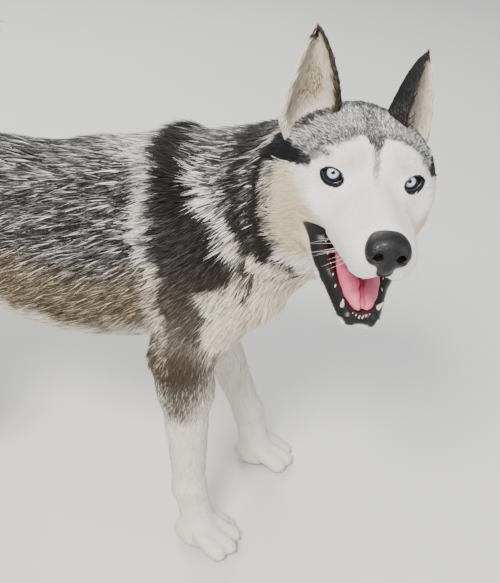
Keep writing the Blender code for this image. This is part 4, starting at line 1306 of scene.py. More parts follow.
@dataclass
class Wiring:
    """Adds nodes to a tree and joins them."""

    tree: bpy.types.NodeTree

    @classmethod
    def group(cls, kind: str, name: str, given: dict[str, str], made: dict[str, str]) -> "Wiring":
        """Starts a node group.

        Args:
            kind: ShaderNodeTree or GeometryNodeTree.
            name: The name of the group.
            given: The names of its inputs, each with its kind of socket.
            made: The names of its outputs, in the same way.

        Returns:
            The wiring of the empty group.
        """
        tree = bpy.data.node_groups.new(name, kind)
        for way, sockets in (("INPUT", given), ("OUTPUT", made)):
            for label, socket in sockets.items():
                tree.interface.new_socket(label, in_out=way, socket_type="NodeSocket" + socket)
        return cls(tree)

    def add(self, kind: str, **settings: object) -> bpy.types.Node:
        """Adds a node with its settings.

        Args:
            kind: The node's type.
            settings: Its properties.

        Returns:
            The node.
        """
        node = self.tree.nodes.new(kind)
        for name, value in settings.items():
            setattr(node, name, value)
        return node

    def join(self, source: object, socket: bpy.types.NodeSocket) -> None:
        """Feeds a socket from another socket, or sets it to a plain value.

        Args:
            source: A socket or a plain value.
            socket: The socket to feed.
        """
        if isinstance(source, bpy.types.NodeSocket):
            self.tree.links.new(source, socket)
        else:
            socket.default_value = source

    def math(self, operation: str, *values: object) -> bpy.types.NodeSocket:
        """Adds a Math node and returns its result.

        Args:
            operation: What it does.
            values: Sockets or plain values.
        """
        node = self.add("ShaderNodeMath", operation=operation)
        for value, socket in zip(values, node.inputs):
            self.join(value, socket)
        return node.outputs[0]

    def range(self, value: object, low: float, high: float) -> bpy.types.NodeSocket:
        """Goes softly from 0 at low to 1 at high, also where low is the larger.

        Args:
            value: A socket or a plain value.
            low: Where it is 0.
            high: Where it is 1.

        Returns:
            The share.
        """
        node = self.add("ShaderNodeMapRange", interpolation_type="SMOOTHSTEP")
        ends = (low, high, 0.0, 1.0) if low < high else (high, low, 1.0, 0.0)
        self.join(value, node.inputs["Value"])
        for name, end in zip(("From Min", "From Max", "To Min", "To Max"), ends):
            node.inputs[name].default_value = end
        return node.outputs["Result"]

    def mix(self, share: object, first: object, second: object) -> bpy.types.NodeSocket:
        """Mixes two colours.

        Args:
            share: How much of the second counts.
            first: One colour.
            second: The other colour.

        Returns:
            The mixed colour.
        """
        node = self.add("ShaderNodeMix", data_type="RGBA")
        self.join(share, node.inputs[0])
        self.join(first, node.inputs[6])
        self.join(second, node.inputs[7])
        return node.outputs[2]

    def fact(self, name: str) -> bpy.types.NodeSocket:
        """Reads one of the piece's own attributes."""
        return self.add("ShaderNodeAttribute", attribute_name=name, attribute_type="GEOMETRY").outputs["Fac"]

    def place(self) -> bpy.types.NodeSocket:
        """Reads the piece's own coordinates, in metres."""
        return self.add("ShaderNodeTexCoord").outputs["Object"]

    def noise(self, place: bpy.types.NodeSocket, scale: object, detail: float) -> bpy.types.NodeSocket:
        """Adds a noise pattern and returns it.

        Args:
            place: Where it is read.
            scale: How fine it is.
            detail: How many octaves it has.
        """
        node = self.add("ShaderNodeTexNoise")
        for name, value in (("Vector", place), ("Scale", scale), ("Detail", detail)):
            self.join(value, node.inputs[name])
        return node.outputs["Fac"]

    def bump(self, height: object, strength: object, distance: object) -> bpy.types.NodeSocket:
        """Turns a height pattern into a normal.

        Args:
            height: The pattern.
            strength: How strongly it shows.
            distance: Its depth in metres.

        Returns:
            The normal.
        """
        node = self.add("ShaderNodeBump")
        for name, value in (("Height", height), ("Strength", strength), ("Distance", distance)):
            self.join(value, node.inputs[name])
        return node.outputs["Normal"]


@dataclass(frozen=True)
class CoatTintAndShade:
    """The colour of skin or hair as a shader node group, read from the markings, with painted shade that darkens every
    hair towards its root.
    """

    white: Triple = (0.900, 0.890, 0.868)
    cream: Triple = (0.740, 0.600, 0.370)
    black: Triple = (0.0065, 0.0065, 0.0080)
    brown: Triple = (0.085, 0.060, 0.038)
    silver: Triple = (0.520, 0.530, 0.560)
    dusty: Triple = (0.50, 0.47, 0.42)

    @cache
    def group(self) -> bpy.types.NodeTree:
        """Returns the node group, built once."""
        names = ("Dark", "Warm", "Grizzle", "Tip", "Chance")
        net = Wiring.group("ShaderNodeTree", "coat_tint_and_root_shade", dict.fromkeys(names, "Float"), {"Colour": "Color"})
        given = net.add("NodeGroupInput").outputs
        light = net.mix(given["Warm"], (*self.white, 1), (*self.cream, 1))
        light = net.mix(net.math("MULTIPLY", given["Chance"], 0.30), light, (*self.dusty, 1))
        deep = net.mix(given["Warm"], (*self.black, 1), (*self.brown, 1))
        sway = net.math("MULTIPLY", net.math("SUBTRACT", given["Chance"], 0.5), 1.55)
        level = net.math("MULTIPLY_ADD", sway, given["Grizzle"], given["Dark"])
        lightness = net.math("SUBTRACT", 1.0, net.range(level, 0.12, 0.84))
        dark = net.math("SUBTRACT", 1.0, net.math("POWER", lightness, 2.0))
        ring = net.math("MULTIPLY", net.range(given["Tip"], 0.15, 0.40), net.range(given["Tip"], 0.92, 0.66))
        ring = net.math("MULTIPLY", ring, given["Grizzle"])
        ring = net.math("MULTIPLY", ring, net.range(level, 1.10, 0.60))
        silver = net.mix(given["Warm"], (*self.silver, 1), (*self.cream, 1))
        banded = net.mix(net.math("MULTIPLY", ring, 0.22), deep, silver)
        colour = net.mix(dark, light, banded)
        # Painted shade deep in the coat: the colour darkens towards black near each hair's root.
        painted_root_shade = net.mix(net.range(given["Tip"], -0.15, 0.55), (0.0, 0.0, 0.0, 1), colour)
        net.join(net.mix(0.42, colour, painted_root_shade), net.add("NodeGroupOutput").inputs["Colour"])
        return net.tree


@cache
def moist_grain() -> bpy.types.NodeTree:
    """Returns the shader node group of mottling and fine grain, built once."""
    numbers = ("Patch", "Grain", "Depth", "Strength", "Roughness")
    given = {"Place": "Vector", "Tone": "Color", "Other": "Color", **dict.fromkeys(numbers, "Float")}
    made = {"Colour": "Color", "Roughness": "Float", "Normal": "Vector"}
    net = Wiring.group("ShaderNodeTree", "moist_grain", given, made)
    given, made = net.add("NodeGroupInput").outputs, net.add("NodeGroupOutput").inputs
    shade = net.range(net.noise(given["Place"], given["Patch"], 3.0), 0.35, 0.65)
    net.join(net.mix(shade, given["Tone"], given["Other"]), made["Colour"])
    cells = net.add("ShaderNodeTexVoronoi")
    net.join(given["Place"], cells.inputs["Vector"])
    net.join(given["Grain"], cells.inputs["Scale"])
    height = net.math("SUBTRACT", 1.0, cells.outputs["Distance"])
    net.join(net.bump(height, given["Strength"], given["Depth"]), made["Normal"])
    smoothest = net.math("SUBTRACT", given["Roughness"], 0.12)
    net.join(net.math("MULTIPLY_ADD", net.noise(given["Place"], 350.0, 2.0), 0.25, smoothest), made["Roughness"])
    return net.tree


@dataclass(frozen=True)
class Finish:
    """A material: a Principled shader with plain settings and patterns of its own."""

    name: str
    roughness: float = 0.6
    coat: float = 0.0
    specular: float = 0.5
    subsurface: float = 0.0

    def start(self) -> tuple[bpy.types.Material, Wiring, bpy.types.Node]:
        """Makes the material with its plain settings.

        Returns:
            The material, its wiring and its shader.
        """
        material = bpy.data.materials.new(self.name)
        material.use_nodes = True
        shader = material.node_tree.nodes["Principled BSDF"]
        shader.inputs["Roughness"].default_value = self.roughness
        shader.inputs["Coat Weight"].default_value = self.coat
        shader.inputs["Coat Roughness"].default_value = 0.06
        shader.inputs["Specular IOR Level"].default_value = self.specular
        shader.inputs["Subsurface Weight"].default_value = self.subsurface
        shader.inputs["Subsurface Radius"].default_value = (0.004, 0.0015, 0.001)
        return material, Wiring(material.node_tree), shader

    def build(self) -> bpy.types.Material:
        """Makes the whole material."""
        return self.start()[0]


@dataclass(frozen=True)
class HairFinish(Finish):
    """Hair with its markings, banding, pale or dark tips and painted shade towards the roots."""

    def build(self) -> bpy.types.Material:
        """Makes the material from the tufts' attributes."""
        material, net, shader = self.start()
        tint = net.add("ShaderNodeGroup", node_tree=CoatTintAndShade().group())
        for name in ("dark", "warm", "grizzle", "tip", "chance"):
            net.join(net.fact(name), tint.inputs[name.capitalize()])
        net.join(tint.outputs["Colour"], shader.inputs["Base Color"])
        return material


@dataclass(frozen=True)
class SkinFinish(Finish):
    """Skin seen through the coat: the same markings, darkened by the painted shade deep in the coat, with wet black
    lips and a dark mouth.
    """

    lip: Triple = (0.012, 0.010, 0.011)
    gum: Triple = (0.055, 0.016, 0.019)

    def build(self) -> bpy.types.Material:
        """Makes the material from the skin's attributes."""
        material, net, shader = self.start()
        tint = net.add("ShaderNodeGroup", node_tree=CoatTintAndShade().group())
        for name in ("dark", "warm", "grizzle"):
            net.join(net.fact(name), tint.inputs[name.capitalize()])
        # A Tip of 0.30 gives the skin the painted shade that darkens the lower part of every hair.
        tint.inputs["Tip"].default_value = 0.30
        net.join(net.noise(net.place(), 420.0, 2.0), tint.inputs["Chance"])
        flesh = net.mix(net.range(net.fact("deep"), 0.15, 0.9), (*self.lip, 1), (*self.gum, 1))
        bare = net.fact("bare")
        net.join(net.mix(bare, tint.outputs["Colour"], flesh), shader.inputs["Base Color"])
        net.join(net.math("MULTIPLY_ADD", bare, -0.4, 0.7), shader.inputs["Roughness"])
        pores = net.noise(net.place(), 900.0, 3.0)
        net.join(net.bump(pores, 0.35, 0.0006), shader.inputs["Normal"])
        return material


@dataclass(frozen=True)
class SkinPart:
    """One stretch of skin: its outline, the grid it is drawn on, its slot and the nodes it replaces."""

    name: str
    form: Form
    net: Net
    slot: Slot
    nodes: tuple[str, ...]
    depth: float | None = None


@dataclass
class Skin:
    """Head, body and tail skins, which replace the nodes of flesh."""

    shape: SkinShape
    marks: Markings
    tail: TailShape
    head_cell: float = 0.0017
    body_cell: float = 0.0048
    tail_cell: float = 0.005
    tail_depth: float = 0.002

    def parts(self) -> Iterator[SkinPart]:
        """Yields the skins of head, body and tail."""
        corners = itertools.product((-0.118, 0.116), (-0.112, 0.112), (-0.175, 0.066))
        box = np.array([self.shape.body.head.frame @ Vector(c) for c in corners])
        net = Net(tuple(box.min(0)), tuple(box.max(0)), self.head_cell)
        yield SkinPart("head_skin", self.shape.head_part, net, Slot.WHITE, ("head", "lower_jaw"))
        net = Net((-0.58, -0.26, -0.02), (0.28, 0.17, 0.66), self.body_cell)
        kinds = ("foreleg", "forepaw", "hindleg", "hindpaw")
        limbs = tuple(f"{kind}_{name}" for kind in kinds for name in SIDES)
        yield SkinPart("body_skin", self.shape.body_part, net, Slot.GRIZZLED, ("torso", "neck", *limbs))
        low, high = self.tail.spine.min(0) - 0.05, self.tail.spine.max(0) + 0.05
        net = Net(tuple(low), tuple(high), self.tail_cell)
        yield SkinPart("tail_skin", self.tail.read, net, Slot.GRIZZLED, ("tail",), self.tail_depth)

    def build(self, finish: bpy.types.Material) -> dict[str, Surface]:
        """Makes the three skins.

        Args:
            finish: The skin's material.

        Returns:
            The surfaces that the coat is planted on, by name.
        """
        made, head = {}, self.shape.body.head
        for part in self.parts():
            points, out, faces = self.shape.draw(part.form, part.net, part.depth)
            facts = self.marks.read(points)
            inner = head.hollows(to_local(points, head.frame), to_local(points, head.jaw_frame))
            facts["deep"] = smooth(-np.minimum.reduce(inner), -0.006, 0.0)
            Piece(part.name, points, faces, finish, part.slot, part.nodes, facts).build()
            made[part.name] = Surface.of_quads(points, out, faces)
        return made


@dataclass
class Coat:
    """Plants the hair in pieces, each on its own stretch of skin."""

    plan: CoatPlan
    marks: Markings
    tail: TailShape
    skin: SkinShape
    finish: bpy.types.Material
    layers: float = 4.4
    fineness: float = 0.62
    brush_width: float = 0.0017
    ground_gap: float = 0.0006

    def __post_init__(self) -> None:
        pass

    def chart_place(self, points: Array) -> Array:
        """Returns a place on the unwrap of neck and trunk, along and round its middle line.

        Args:
            points: Places in the body's frame.
        """
        along, angle = self.marks.chart(points)
        turn = np.where(points[:, 1] > self.neck_middle(along), angle, -angle)
        return np.stack([along / self.marks.steps[-1], 0.5 + turn / 360], 1)

    def neck_middle(self, along: Array) -> Array:
        """Returns how far to the left the middle line lies."""
        return np.interp(along, self.marks.steps, self.marks.line[:, 1])

    def ball_place(self, points: Array, place: Matrix, middle: Triple) -> Array:
        """Returns a place on the unwrap of a rounded form, round its middle.

        Args:
            points: Places in the body's frame.
            place: The form's own frame.
            middle: Its middle in that frame.
        """
        arm = to_local(points, place) - np.array(middle)
        turn = np.arctan2(arm[:, 1], -arm[:, 0])
        rise = np.arcsin(np.clip(arm[:, 2] / np.linalg.norm(arm, axis=1), -1, 1))
        return np.stack([0.5 + turn / math.tau, 0.5 + rise / math.pi], 1)

    def leg_place(self, points: Array, bones: dict[str, list[Triple]]) -> Array:
        """Returns a place on the unwrap of two legs, each by height and angle round its bones.

        Args:
            points: Places in the body's frame.
            bones: The joints of the right and the left leg, from the top down.
        """
        places = np.zeros((len(points), 2))
        for k, (name, joints) in enumerate(bones.items()):
            mine = (points[:, 1] > 0) == (SIDES[name] > 0)
            line = np.array(joints)[::-1]
            z = points[mine, 2]
            middle = [np.interp(z, line[:, 2], line[:, axis]) for axis in (0, 1)]
            turn = np.arctan2(points[mine, 1] - middle[1], points[mine, 0] - middle[0])
            places[mine] = np.stack([0.25 + 0.5 * k + turn / math.tau * 0.48, z / 0.45], 1)
        return places

    def plant(
        self, name: str, surface: Surface, wanted: Array, placer: Form, slot: Slot, clump: float, seed: int
    ) -> None:
        """Plants one piece of the coat.

        Args:
            name: The piece's name.
            surface: The skin it grows on.
            wanted: Which triangles it covers, by their number.
            placer: Gives each root's place on the unwrap.
            slot: The record's material slot.
            clump: How wide the locks are that hair gathers in.
            seed: The seed of this piece.
        """
        chance = np.random.default_rng(seed)
        part = Surface(surface.points, surface.out, surface.triangles[wanted])
        middles = part.middles()
        _, facts = self.plan.read(middles)
        full = self.plan.bareness(middles)
        density = 2 * self.layers / (facts[:, 0] * facts[:, 2] * self.fineness) * (full > 0.03)
        roots, out, _ = part.sample(density, chance)
        most = PIECE_LIMIT // Tufts.triangles_each(Tufts.rows)
        if len(roots) > most:
            keep = np.sort(chance.permutation(len(roots))[:most])
            roots, out = roots[keep], out[keep]
        ways, facts = self.plan.read(roots)
        full = self.plan.bareness(roots)
        whole = np.ones_like(full)
        facts *= np.stack([0.45 + 0.55 * full, whole, self.fineness * whole, 0.22 + 0.42 * full], 1)
        flat = unit(ways - out * (ways * out).sum(1, keepdims=True))
        marks = self.marks.read(roots + 0.75 * facts[:, :1] * flat)
        tufts = Tufts(roots, out, ways, facts[:, 0], facts[:, 2], facts[:, 3], marks, clump, seed=seed)
        points, faces, facts, uv = tufts.build(placer(roots))
        points[:, 2] = np.maximum(points[:, 2], self.ground_gap)
        Piece(name, points, faces, self.finish, slot, (), facts, uv).build()

    def build(self, skins: dict[str, Surface]) -> None:
        """Plants head, jaw, neck, trunk, legs and tail.

        Args:
            skins: The skins by name.
        """
        self.head(skins["head_skin"])
        self.body(skins["body_skin"])
        self.brush(skins["tail_skin"])

    def head(self, skin: Surface) -> None:
        """Plants face, cheeks and lower jaw.

        Args:
            skin: The skin that the hair grows on.
        """
        head, middles = self.plan.body.head, skin.middles()
        jaw, local = to_local(middles, head.jaw_frame), to_local(middles, head.frame)
        on_jaw = (jaw[:, 2] < 0.004) & (jaw[:, 0] > 0.03) & (local[:, 2] < -0.05)
        skull = ~on_jaw & (self.skin.head_room(middles) < 0.0005)
        face = local[:, 0] > -0.035
        for name, mine, place, middle, clump, seed in (
            ("head_coat", skull & face, head.frame, (-0.02, 0, -0.03), 0.007, 101),
            ("cheek_coat", skull & ~face, head.frame, (-0.06, 0, -0.03), 0.009, 111),
            ("jaw_coat", on_jaw, head.jaw_frame, (0.06, 0, -0.02), 0.008, 121),
        ):
            placer = partial(self.ball_place, place=place, middle=middle)
            self.plant(name, skin, mine, placer, Slot.WHITE, clump, seed)

    def body(self, skin: Surface) -> None:
        """Plants neck, trunk and legs.

        Args:
            skin: The skin that the hair grows on.
        """
        middles = skin.middles()
        along, _ = self.marks.chart(middles)
        x, y, z = middles.T
        fore = (z < 0.285) & (x > -0.12)
        hind = ((z < 0.315) & (x < -0.24)) | ((x < -0.440) & (z < 0.42))
        rest = ~fore & ~hind & (self.skin.head_room(middles) > -0.0005)
        neck, right_of_neck = along < 0.20, y < self.neck_middle(along)
        for name, mine, mine_neck, seed in (
            ("right", y < 0, right_of_neck, 131), ("left", y >= 0, ~right_of_neck, 151)
        ):
            rows = (("neck", neck & mine_neck, 0.012, 0), ("trunk", ~neck & mine, 0.011, 10))
            for part, stretch, clump, more in rows:
                piece = f"{part}_coat_{name}"
                self.plant(piece, skin, rest & stretch, self.chart_place, Slot.GRIZZLED, clump, seed + more)
        for part, mine, bones, clump, seed in (
            ("foreleg", fore, self.plan.body.fore_bones, 0.009, 171),
            ("hindleg", hind, self.plan.body.hind_bones, 0.010, 181),
        ):
            placer = partial(self.leg_place, bones={name: list(bones(name)) for name in SIDES})
            self.plant(f"{part}_coat", skin, mine, placer, Slot.WHITE, clump, seed)

    def brush(self, surface: Surface) -> None:
        """Plants the long hair of the tail, which leans towards its tip.

        Args:
            surface: The skin that the hair grows on.
        """
        seed, spine = 191, self.tail.spine
        density = np.full(len(surface.triangles), 2 * self.layers * 1.9 / (0.055 * self.brush_width))
        roots, out, _ = surface.sample(density, np.random.default_rng(seed))
        nearest = np.linalg.norm(roots[:, None] - spine[None], axis=2).argmin(1)
        share = nearest / (self.tail.joints - 1)
        ways = unit(np.gradient(spine, axis=0))[nearest]
        full = np.sin(np.pi * np.clip(share + 0.12, 0, 1))
        side = np.cross(ways, (0, 1.0, 0))
        turn = np.arctan2(((roots - spine[nearest]) * side).sum(1), roots[:, 1] - spine[nearest][:, 1])
        places = np.stack([share, 0.5 + turn / math.tau], 1)
        width, marks = np.full(len(roots), self.brush_width), self.marks.read(roots)
        tufts = Tufts(roots, out, ways, 0.048 + 0.022 * full, width, 8 + 24 * full, marks, 0.016, 4, seed, 12.0)
        points, faces, facts, uv = tufts.build(places)
        Piece("tail_coat", points, faces, self.finish, Slot.GRIZZLED, (), facts, uv).build()


@dataclass(frozen=True)
class Leaf:
    """The mesh of one ear, with the share of the way up and across and the side of every point."""

    name: str
    points: Array
    out: Array
    faces: Array
    up: Array
    across: Array
    inside: Array


@dataclass
class Ears:
    """The two ears: a cupped leaf each, black behind and cream inside, with their own hair."""

    head: HeadShape
    rows: int = 40
    columns: int = 28
    root_drop: float = 0.22
    root: Triple = (-0.064, 0.0520, 0.027)
    hair_width: float = 0.0008
    tips: dict[str, tuple[Triple, float]] = setting(
        default_factory=lambda: {
            "right": ((-0.065, -0.0570, 0.1135), 8.0),
            "left": ((-0.076, 0.0515, 0.1005), 42.0),
        }
    )

    def ends(self, name: str) -> tuple[Array, Array]:
        """Returns the middle of an ear's root and its tip, in the head's frame."""
        return np.array(self.root) * (1, SIDES[name], 1), np.array(self.tips[name][0])

    def sheet(self, name: str) -> tuple[Array, Array, Array]:
        """Lays the leaf of one ear in the head's frame.

        Args:
            name: Which ear.

        Returns:
            Points of shape (layer, row, column, 3), the share of the way up and across, and the
            direction of the ear's back.
        """
        side, turn = SIDES[name], self.tips[name][1]
        centre, tip = self.ends(name)
        half = Vector((-0.001, side * 0.0280, -0.0120))
        half = np.array(Matrix.Rotation(side * math.radians(turn), 3, Vector(tip - centre)) @ half)
        back = unit(-np.cross(2 * half, tip - centre) * side)
        up = -self.root_drop + (1 + self.root_drop) * np.arange(self.rows + 1) / self.rows
        wide = (1 - np.clip(up, 0, 1) ** 1.6) ** 0.85 * 0.95 + 0.05
        wide *= 0.72 + 0.28 * smooth(up, -0.20, 0.16)
        angle = math.pi * np.arange(self.columns + 1) / self.columns
        layers = []
        for inward in (0.0, 1.0):
            wall = 0.0044 * (1 - 0.55 * np.maximum(up, 0)) * inward
            rim = 1 - wall / np.maximum(np.linalg.norm(half) * wide, 1e-4) * 0.8
            across = half[None, None] * (wide * rim)[:, None, None] * -np.cos(angle)[None, :, None]
            depth = (0.034 * wide**0.8 - wall)[:, None, None] * np.sin(angle)[None, :, None] * back
            bow = 0.003 * np.sin(math.pi * np.clip(up, 0, 1))[:, None, None] * back
            layers.append(centre + (tip - centre) * up[:, None, None] + across + depth - bow)
        shares = np.stack(np.broadcast_arrays(up[:, None], angle[None] / math.pi), -1)
        return np.array(layers), shares, back

    def faces(self, flip: bool) -> Array:
        """Returns the faces of the outer and inner sheet and of the rim.

        Args:
            flip: Whether they are turned round.
        """
        stride, size = self.columns + 1, (self.rows + 1) * (self.columns + 1)
        row, column = np.meshgrid(np.arange(self.rows), np.arange(self.columns), indexing="ij")
        a = (row * stride + column).ravel()
        outer = np.stack([a, a + 1, a + stride + 1, a + stride], 1)
        inner = np.stack([a, a + stride, a + stride + 1, a + 1], 1) + size
        made = [outer, inner]
        for edge in (0, self.columns):
            b = np.arange(self.rows) * stride + edge
            strip = np.stack([b, b + stride, b + stride + size, b + size], 1)
            made.append(strip if edge == 0 else strip[:, ::-1])
        for r in (0, self.rows):
            b = r * stride + np.arange(self.columns)
            strip = np.stack([b, b + size, b + 1 + size, b + 1], 1)
            made.append(strip if r == 0 else strip[:, ::-1])
        faces = np.concatenate(made)
        return faces[:, ::-1] if flip else faces

    def marks(self, up: Array, across: Array, inside: Array, spots: Array) -> Facts:
        """Returns the markings of an ear: 0 across is its inner edge, 1 its outer edge.

        Args:
            up: The share of the way up.
            across: The share of the way across.
            inside: Which places lie on the inner side.
            spots: Places in the body's frame.
        """
        wobble = 0.05 * Noise(0.010, 61).read(spots)
        tip = smooth(up + wobble, 0.84, 0.93)
        rim = smooth(-across + wobble, -0.15, -0.06)
        edge = smooth(across + wobble, 0.80, 0.92) * (1 - tip)
        behind = 0.90 - 0.15 * smooth(-up, -0.35, -0.05)
        core = smooth(-np.abs(across - 0.5 + wobble), -0.26, -0.06) * smooth(-up, -0.80, -0.45) * smooth(up, 0.05, 0.25)
        dark = np.where(inside, 0.34 * core, behind)
        dark = np.maximum(dark, 0.88 * tip)
        dark = np.maximum(dark, np.where(inside, 0.9 * rim, dark))
        dark = dark * (1 - 0.95 * edge)
        warm = np.where(inside, 0.55 + 0.35 * core, 0.03) * (1 - 0.5 * edge) + 0.25 * edge
        return {
            "dark": dark, "warm": np.clip(warm, 0, 1), "grizzle": np.where(inside, 0.35, 0.25),
            "bare": np.zeros(len(up)), "deep": np.zeros(len(up)),
        }

    def leaf(self, name: str) -> Leaf:
        """Makes the mesh of one ear in the body's frame, with its faces outwards.

        Args:
            name: right or left.

        Returns:
            The leaf.
        """
        layers, shares, back = self.sheet(name)
        points = to_outer(layers.reshape(-1, 3), self.head.frame)
        faces = self.faces(SIDES[name] < 0)
        corners = points[faces]
        normal = np.cross(corners[:, 2] - corners[:, 0], corners[:, 3] - corners[:, 1])
        out = np.zeros_like(points)
        np.add.at(out, faces.ravel(), np.repeat(normal, 4, axis=0))
        out = unit(out)
        inside = np.arange(len(points)) >= len(points) // 2
        if (out[~inside] @ turned(back, self.head.frame)).mean() < 0:
            faces, out = faces[:, ::-1], -out
        up, across = (np.tile(shares[..., k].ravel(), 2) for k in (0, 1))
        return Leaf(name, points, out, faces, up, across, inside)

    def build(self, skin: bpy.types.Material, hair: bpy.types.Material) -> None:
        """Makes both ears and plants their hair.

        Args:
            skin: The finish of the leaf.
            hair: The finish of the hair.
        """
        for name in SIDES:
            leaf = self.leaf(name)
            facts = self.marks(leaf.up, leaf.across, leaf.inside, leaf.points)
            under = leaf.points - 0.0008 * leaf.out
            Piece(f"ear_leaf_{name}", under, leaf.faces, skin, Slot.GRIZZLED, (f"ear_{name}",), facts).build()
            self.hair(leaf, hair)

    def hair(self, leaf: Leaf, finish: bpy.types.Material) -> None:
        """Plants short hair behind the ear and longer pale hair along the edges inside.

        Args:
            leaf: The ear's mesh.
            finish: The finish of the hair.
        """
        surface = Surface.of_quads(leaf.points, leaf.out, leaf.faces)
        tri = surface.triangles
        chance = np.random.default_rng(61)
        length = np.where(leaf.inside, 0.0060 + 0.0060 * np.abs(leaf.across - 0.5) * 2, 0.0052)
        length = length * (1 - 0.4 * np.clip(leaf.up, 0, 1))
        density = (8.0 / (length * self.hair_width))[tri].mean(1) * (leaf.up[tri].mean(1) > -0.12)
        density *= np.where(leaf.inside[tri].any(1), 0.7, 1.0)
        roots, normal, chosen = surface.sample(density, chance)
        corner = tri[chosen, chance.integers(0, 3, len(chosen))]
        up, across, inside = leaf.up[corner], leaf.across[corner], leaf.inside[corner]
        start, tip = self.ends(leaf.name)
        width = leaf.points[leaf.across == 1].mean(0) - leaf.points[leaf.across == 0].mean(0)
        spread = np.where(inside, 0.9, -0.3) * (0.5 - across)
        ways = unit(turned(tip - start, self.head.frame)) + spread[:, None] * unit(width)
        marks = self.marks(up, across, inside, roots)
        marks.pop("deep")
        widths = np.full(len(roots), self.hair_width)
        lift = np.where(inside, 15.0, 9.0)
        tufts = Tufts(roots, normal, ways, length[corner], widths, lift, marks, 0.006, 3, 62, 7.0)
        places = [(up + self.root_drop) / (1 + self.root_drop), 0.13 + 0.45 * across + 0.25 * inside]
        made, triangles, facts, uv = tufts.build(np.stack(places, 1))
        Piece(f"ear_coat_{leaf.name}", made, triangles, finish, Slot.GRIZZLED, (), facts, uv).build()


@dataclass(frozen=True)
class EyeFinish(Finish):
    """A wet, pale blue eye with a small black pupil and a dark ring round the iris."""

    pale: Triple = (0.62, 0.74, 0.86)
    deep: Triple = (0.20, 0.34, 0.52)
    inner: Triple = (0.55, 0.60, 0.62)
    ring: Triple = (0.012, 0.018, 0.035)
    white: Triple = (0.030, 0.021, 0.019)
    pupil: Triple = (0.002, 0.002, 0.003)

    def build(self) -> bpy.types.Material:
        """Makes the material from the eye's own attributes."""
        material, net, shader = self.start()
        ray = net.fact("ray")
        spread = net.add("ShaderNodeCombineXYZ")
        for name, socket in zip(("fibre_x", "fibre_y"), spread.inputs):
            net.join(net.fact(name), socket)
        net.join(net.math("MULTIPLY", ray, 0.6), spread.inputs[2])
        streak = net.range(net.noise(spread.outputs[0], 11.0, 4.0), 0.40, 0.64)
        eye = net.mix(net.math("MULTIPLY", streak, 0.75), (*self.pale, 1), (*self.deep, 1))
        for low, high, tone in (
            (0.20, 0.33, self.deep), (0.150, 0.105, self.inner), (0.290, 0.345, self.ring),
            (0.40, 0.46, self.white), (0.112, 0.094, self.pupil),
        ):
            eye = net.mix(net.range(ray, low, high), eye, (*tone, 1))
        net.join(eye, shader.inputs["Base Color"])
        return material


@dataclass(frozen=True)
class WetFinish(Finish):
    """Moist skin in two tones with a fine grain: nose, tongue, lips and gums."""

    tone: Triple = (0.02, 0.02, 0.02)
    other: Triple = (0.05, 0.05, 0.05)
    patch: float = 90.0
    grain: float = 900.0
    depth: float = 0.0006
    strength: float = 0.6

    def build(self) -> bpy.types.Material:
        """Makes the material with its mottling and its grain."""
        material, net, shader = self.start()
        skin = net.add("ShaderNodeGroup", node_tree=moist_grain())
        for name, value in (
            ("Place", net.place()), ("Tone", (*self.tone, 1)), ("Other", (*self.other, 1)), ("Patch", self.patch),
            ("Grain", self.grain), ("Depth", self.depth), ("Strength", self.strength), ("Roughness", self.roughness),
        ):
            net.join(value, skin.inputs[name])
        for name, socket in (("Colour", "Base Color"), ("Roughness", "Roughness"), ("Normal", "Normal")):
            net.join(skin.outputs[name], shader.inputs[socket])
        return material


@dataclass(frozen=True)
class Horn:
    """One tooth, claw or whisker: root, tip, radius, the way it bends and how flat it is."""

    root: Vector
    tip: Vector
    radius: float
    lean: Vector
    flat: float = 1.0

    def moved(self, place: Matrix) -> "Horn":
        """Returns it turned from the frame given into the outer frame."""
        return Horn(place @ self.root, place @ self.tip, self.radius, place.to_3x3() @ self.lean, self.flat)


